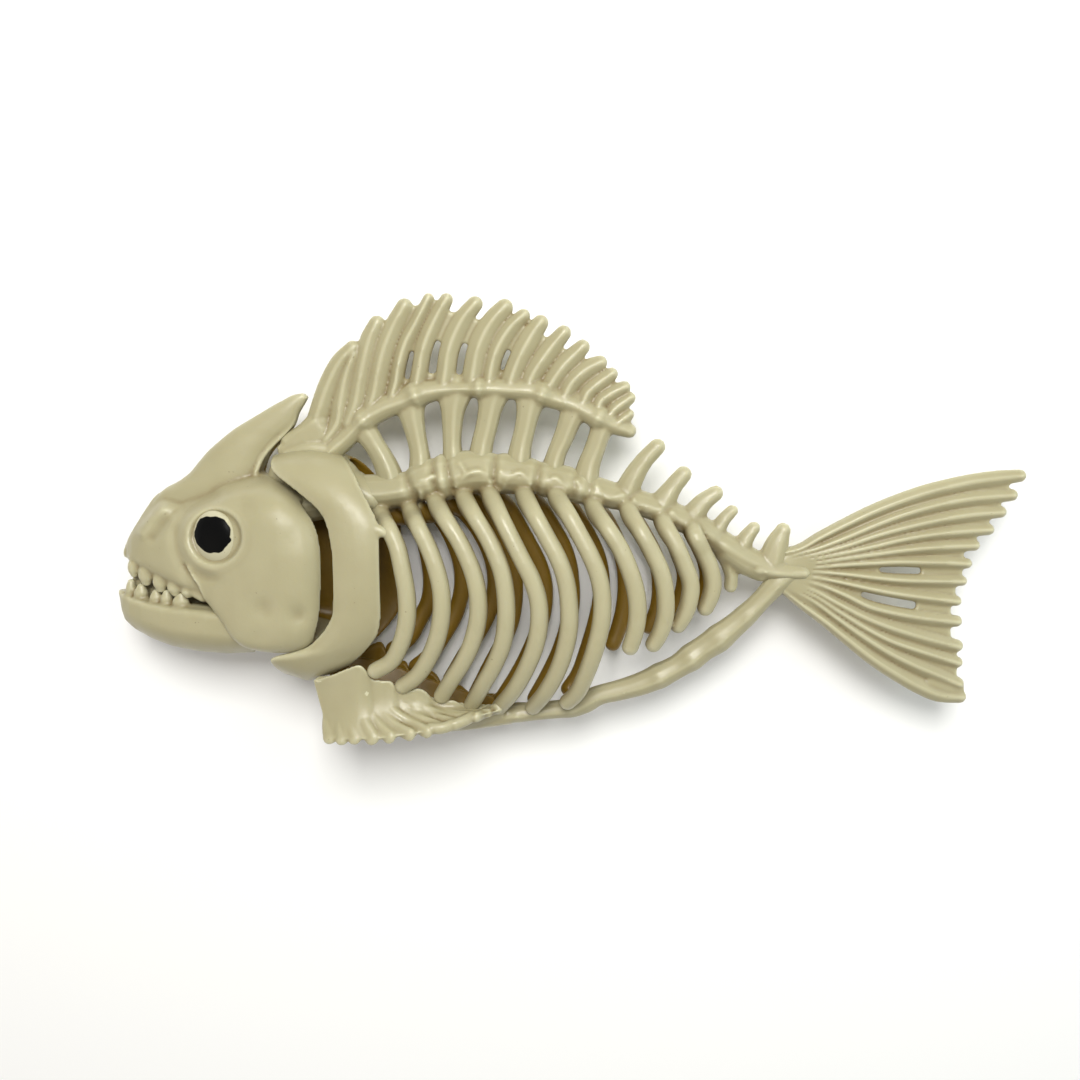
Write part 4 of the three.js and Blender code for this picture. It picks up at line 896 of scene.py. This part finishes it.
def trough_skin(front, rear, wall):
    """A bent sheet: across the chest it rises from floor to rim as |w|^2.2, and each face is half the wall away from
    that line, leaning outwards by 0.85 w. Its front and rear ends close on the line."""
    x = np.linspace(front, rear, 70)
    w = np.concatenate([np.linspace(-1, 1, 41), np.linspace(1, -1, 41)])[None]
    face = np.concatenate([np.ones(41), -np.ones(41)])[None]
    floor_line, rim, half = (smooth_read(t, x)[:, None] for t in (CHEST_FLOOR, CHEST_RIM, CHEST_HALF))
    ends = np.ones((70, 1))
    ends[[0, -1]] = 0
    lean = 0.85 * w
    y = floor_line + (rim - floor_line) * np.abs(w) ** 2.2 + ends * face * wall * (1 - 0.55 * lean**2)
    z = w * half - ends * face * wall * lean
    points = np.stack([x[:, None] + 0 * y, y, z], axis=-1)
    return skin_of(points)


keel = moulded("keel_moulding", [
    trough_skin(-102.5, -27, 1.5), middle_bone(KEEL_BAR, PRONG_SECTION, joints=KEEL_JOINTS, step=0.8),
    middle_bone([[-98, -72, 3, 4], [-80, -79, 3, 4], [-62, -82, 3.2, 4], [-44, -80.8, 3.6, 4],
                 [-26, -78.2, 3.8, 4.4]]),
], grain=0.62, soften=4)
fitted(keel, BONE_PLASTIC, "bone_plastic", "keel")

# ---- Pectoral fins ----
# A pair of flared fans of ivory plastic on the sides of the chest. Each is a smooth plate at its root, from which
# rounded fingers sweep down and back to bulbs at the rim.
FIN_ROOT = np.array([
    (-103.6, -64.4, 12), (-97, -62.6, 15.5), (-90, -59.8, 18), (-85.4, -58.4, 19), (-82.6, -60.5, 18),
    (-80.4, -63.8, 16.5), (-76, -64.6, 15.6), (-72.4, -65, 15), (-69.8, -68.4, 14), (-66, -68.6, 13.8),
    (-62, -67.6, 13.4), (-58.6, -69, 12.4), (-55.6, -72.4, 11.2), (-52, -73, 10.6), (-48, -72.4, 10.2),
    (-44.6, -74, 9), (-41, -76, 7.6), (-36, -77, 6.6),
])
FIN_RIM = np.array([
    (-97.4, -87.2, 21.5), (-94, -87.8, 22.6), (-90.5, -88, 23.4), (-86.5, -88.2, 23.8), (-82, -88, 24),
    (-78, -88, 24), (-74.5, -87.4, 24), (-71, -87, 23.8), (-67.5, -86.4, 23.4), (-64, -86, 22.8),
    (-60.5, -85.4, 22.2), (-57, -84.8, 21.6), (-53.6, -84, 20.6), (-50, -82.8, 19.4), (-46, -81.6, 18),
    (-41, -80, 16), (-35, -78, 13.4), (-28.5, -76.4, 10.4),
])
FINGERS = [
    (2.7, [(-97.6, -77.5), (-97.6, -83), (-97, -87)]), (2.2, [(-92.8, -77.5), (-92.8, -83), (-92.4, -88)]),
    (2.3, [(-88.6, -77), (-88.4, -83), (-87.3, -87.6)]), (2.6, [(-84.6, -76), (-83.6, -81), (-80.3, -87.4)]),
    (2.4, [(-81.6, -75), (-79.6, -80), (-76, -84.4), (-73.4, -87)]),
    (2.3, [(-78.6, -73.6), (-75.4, -78.8), (-70, -83.6), (-65.4, -86)]),
    (2.2, [(-75.6, -72.4), (-71.4, -77.4), (-65, -81.6), (-58.4, -85)]),
    (2.1, [(-71.8, -71.4), (-67.4, -76), (-60, -80.4), (-52.6, -83.4)]),
    (2.0, [(-67.8, -71.6), (-63, -75.6), (-56, -79), (-47.5, -81.6)]),
    (1.9, [(-63, -72.4), (-58.4, -75.8), (-52, -78.4), (-44, -79.6)]),
    (1.8, [(-57, -73.6), (-52.6, -76.2), (-47, -78), (-39, -78.8)]),
    (1.6, [(-51, -75), (-47, -76.6), (-42, -77.6), (-34, -77.4)]),
]
BULBS = [(-96.4, -86.6, 3), (-92, -87.2, 2.5), (-87, -86.9, 2.7), (-80.2, -86.9, 3.4), (-73.4, -86.4, 3.3),
         (-65.2, -85.4, 3.2), (-57.6, -84.2, 2.8)]
CURLS = [[(-57, -83.6), (-52, -83.4), (-48, -82)], [(-47, -82), (-43.6, -80.6), (-40, -78.8)],
         [(-38.4, -79), (-34, -76.8), (-30, -75.4)]]
FIN_WALL = 1.4


def fin_sheet():
    """Points (x, y, z) of the fin's middle surface on a grid: from root to rim, and from front to rear. It runs
    straight from root to rim but sags by 2.4 sin(pi s), so that it is a shallow bowl with a flared rim."""
    marks = np.arange(len(FIN_ROOT))
    t = np.linspace(0, len(FIN_ROOT) - 1, 150)
    s = np.linspace(0, 1, 50)[:, None, None]
    sheet = through(FIN_ROOT, marks, t) * (1 - s) + through(FIN_RIM, marks, t) * s
    sheet[..., 2] -= 2.4 * np.sin(np.pi * s[..., 0])
    return sheet


def fin_skins():
    """The sheet as a thin wall, with its fingers, bulbs and the curled lobes at its rear laid on it."""
    sheet = fin_sheet()
    placed = seen(sheet)
    offset = np.array([0, 0.45, 0.9]) * FIN_WALL
    rows = np.concatenate([placed + offset, (placed - offset)[:, ::-1]], axis=1)
    middle = np.concatenate([placed, placed[:, ::-1]], axis=1)
    rows = np.concatenate([middle[:1], rows, middle[-1:]])
    skins = [skin_of(rows)]
    flat = sheet.reshape(-1, 3)

    def on_sheet(x, y, proud):
        near = np.argmin((flat[:, 0] - x) ** 2 + (flat[:, 1] - y) ** 2)
        return [x, y, flat[near, 2] + proud]

    # A finger starts inside the wall and comes out of it.
    for half_width, line in FINGERS:
        size = np.linspace(0.95, 1.2, len(line)) * half_width
        proud = np.minimum(0.1, np.arange(len(line)) - 1.1)
        skins.append(bone([[*on_sheet(x, y, p), w, 1.7] for (x, y), w, p in zip(line, size, proud)], blunt=0.9))
    for x, y, size in BULBS:
        skins.append(bone([[*on_sheet(x, y + 1, -0.6), size * 0.8, size * 0.6],
                           [*on_sheet(x, y, -0.6), size, size * 0.7],
                           [*on_sheet(x, y - 0.4, -0.6), size * 0.9, size * 0.6]], blunt=0.7))
    for curl in CURLS:
        skins.append(bone([[*on_sheet(x, y, 0.7), 2.3, 1.9] for x, y in curl]))
    return skins


pectoral = fin_skins()
pectoral_left = moulded("pectoral_fin_left_moulding", pectoral, grain=0.5, soften=5)
fitted(pectoral_left, BONE_PLASTIC, "bone_plastic", "pectoral_fin_left")
pectoral_right = moulded("pectoral_fin_right_moulding", [mirrored(skin) for skin in pectoral], grain=0.5, soften=5)
fitted(pectoral_right, BONE_PLASTIC, "bone_plastic", "pectoral_fin_right")

# ---- Tail fin ----
# A forked fan moulded in one: thirteen ridged rays that spread from the end of the column, joined by a web that
# is open in two slots.
TAIL_RAYS = [
    (3.0, [(84, -13), (90, -11.6), (98, -7.2), (110, -1.2), (120, 3.4), (130, 7.3), (140, 10.6), (150, 13.2),
           (160, 15.3), (170, 16.6), (178.6, 17.5)]),
    (2.8, [(84, -15), (98, -11), (110, -6.4), (120, -2.2), (130, 1.6), (140, 4.6), (150, 7), (160, 8.6), (168, 9.3),
           (175.4, 9.8)]),
    (2.7, [(84, -16.2), (98, -13.2), (110, -9.8), (120, -6.4), (130, -3.6), (140, -1.2), (150, 0.8), (160, 2.2),
           (171, 3)]),
    (2.6, [(84, -17.4), (98, -15), (110, -12.6), (120, -10.4), (130, -8), (140, -6.2), (150, -5), (158, -4.4),
           (166.2, -4)]),
    (2.6, [(84, -18.6), (98, -16.8), (110, -15), (120, -13.6), (130, -12.2), (140, -11.2), (150, -10.6),
           (160.4, -10.3)]),
    (2.45, [(84, -19.6), (98, -18.6), (110, -17.6), (120, -17), (130, -16.6), (140, -16.8), (150, -17),
            (157.4, -17.5)]),
    (2.4, [(84, -20.4), (98, -20.6), (110, -21.6), (120, -22.8), (130, -23.8), (140, -24.2), (150, -24.4),
           (155.4, -24.5)]),
    (2.4, [(84, -21.4), (98, -23), (110, -25.4), (120, -27.6), (130, -29.4), (140, -30.8), (148, -31.8),
           (153.2, -32.5)]),
    (2.7, [(84, -22.6), (98, -25.6), (108, -29.6), (118, -34.4), (128, -37), (138, -38.8), (147, -40),
           (153.2, -40.6)]),
    (2.9, [(84, -23.8), (96, -28), (106, -33.4), (116, -38.6), (126, -42.6), (136, -45.8), (146, -48.6),
           (153.4, -50.4)]),
    (2.5, [(84, -24.8), (96, -30), (106, -36.4), (116, -42.6), (126, -47.8), (136, -51.4), (146, -54.6),
           (153.6, -57)]),
    (2.8, [(84, -25.8), (96, -32.4), (106, -39.6), (116, -46.6), (126, -52.8), (136, -57.8), (146, -62),
           (153.8, -65.4)]),
    (3.2, [(84, -28), (90, -32.8), (100, -40), (110, -47.9), (120, -55.6), (130, -62), (138, -66.4), (146, -69.7),
           (154.4, -70.7)]),
]
TAIL_NOTCHES = [174.4, 171, 167, 162.2, 156.4, 155.8, 153, 151, 151, 154.2, 153.4, 155]
TAIL_SLOTS = {5: (122.5, 139), 7: (115, 137)}


def tail_ray(half_width, line):
    """A ray that widens from a narrow foot at the root to its full width, and narrows again at its thin round tip."""
    x, y = np.array(line, float).T
    width = half_width * np.interp(x, [84, 98, 116, 140, 180], [0.5, 0.66, 0.86, 1.02, 1.0])
    width = width * np.interp(np.linspace(0, 1, len(x)), [0, 0.9, 1], [1, 1, 0.85])
    depth = np.interp(x, [84, 96, 130, 178], [2.8, 3.2, 3.1, 2.4])
    return middle_bone(np.stack([x, y, width, depth], axis=1), RAY_SECTION, step=1.0)


# The solid root between the rays, and the broad tip of the lower lobe.
TAIL_PLATE = [[82, -20.5, 7, 3.1], [88, -21.4, 9, 3.1], [95, -22.6, 12.6, 2.8], [101, -23.5, 16, 2.2],
              [106, -24, 18.6, 1.4]]
TAIL_LOBE = [[143, -64.6, 4.6, 1.8], [150, -67.6, 5, 2], [153.4, -68.6, 4.6, 1.9]]
tail_fin = moulded("tail_fin_moulding", [
    *[tail_ray(*each) for each in TAIL_RAYS],
    *webs(TAIL_RAYS, TAIL_NOTCHES, TAIL_SLOTS, axis=0, foot=85, count=24, fine=300),
    middle_bone(TAIL_PLATE, signed(OVAL, 0.55), blunt=0.15), middle_bone(TAIL_LOBE, blunt=0.6),
], grain=0.6, soften=3)
fitted(tail_fin, BONE_PLASTIC, "bone_plastic", "tail_fin")

# ---- Floor ----
# A broad pale board that the fish lies on. It isn't part of the fish.
floor_mesh = bpy.data.meshes.new("floor")
floor_mesh.from_pydata([(-6, -6, 0), (6, -6, 0), (6, 6, 0), (-6, 6, 0)], [], [(0, 1, 2, 3)])
floor = bpy.data.objects.new("floor", floor_mesh)
bpy.context.scene.collection.objects.link(floor)
board = bpy.data.materials.new("pale_board")
board.use_nodes = True
board.node_tree.nodes["Principled BSDF"].inputs["Base Color"].default_value = (0.93, 0.93, 0.93, 1)
board.node_tree.nodes["Principled BSDF"].inputs["Roughness"].default_value = 0.9
board.node_tree.nodes["Principled BSDF"].inputs["Specular IOR Level"].default_value = 0.1
floor_mesh.materials.append(board)

# ---- Lights ----
# Large soft panels about the camera, and an even pale surround.
def panel(name, place, aim, size, power, colour):
    """A square soft light that faces a point."""
    lamp = bpy.data.lights.new(name, "AREA")
    lamp.shape = "SQUARE"
    lamp.size = size
    lamp.energy = power
    lamp.color = colour
    stand = bpy.data.objects.new(name, lamp)
    stand.location = place
    stand.rotation_euler = (Vector(aim) - Vector(place)).to_track_quat("-Z", "Y").to_euler()
    bpy.context.scene.collection.objects.link(stand)


panel("front_panel", (0.02, 0.46, 0.88), (0, 0, 0.02), 0.42, 9.2, (1, 0.99, 0.95))
panel("warm_panel", (-0.8, -0.35, 0.65), (0, 0, 0.02), 0.6, 1.1, (1, 0.86, 0.66))
panel("cool_panel", (0.85, 0.4, 0.65), (0, 0, 0.02), 0.7, 3, (0.88, 1, 0.94))
surround = bpy.data.worlds.new("surround")
surround.use_nodes = True
surround.node_tree.nodes["Background"].inputs["Color"].default_value = (1, 1, 1, 1)
surround.node_tree.nodes["Background"].inputs["Strength"].default_value = 0.4
bpy.context.scene.world = surround
bpy.context.scene.view_settings.view_transform = "Standard"

# ---- Camera ----
# It stands where the drawing's eye is: above the fish, a little towards its back.
FRAME_WIDTH = 432.0  # what it takes in at the distance of the spot that it looks at, in millimetres
camera = bpy.data.objects.new("camera", bpy.data.cameras.new("camera"))
camera.matrix_world = Matrix.LocRotScale(
    Vector((EYE + DRAWING_TO_FLOOR) * MILLIMETRE),
    Matrix((RIGHTWARD, UPWARD, -AHEAD / np.linalg.norm(AHEAD))).transposed().to_quaternion(), None)
camera.data.sensor_fit = "HORIZONTAL"
camera.data.angle = 2 * np.arctan(FRAME_WIDTH / 2 / np.linalg.norm(AHEAD))
camera.data.clip_start = 0.01
bpy.context.scene.collection.objects.link(camera)
bpy.context.scene.camera = camera
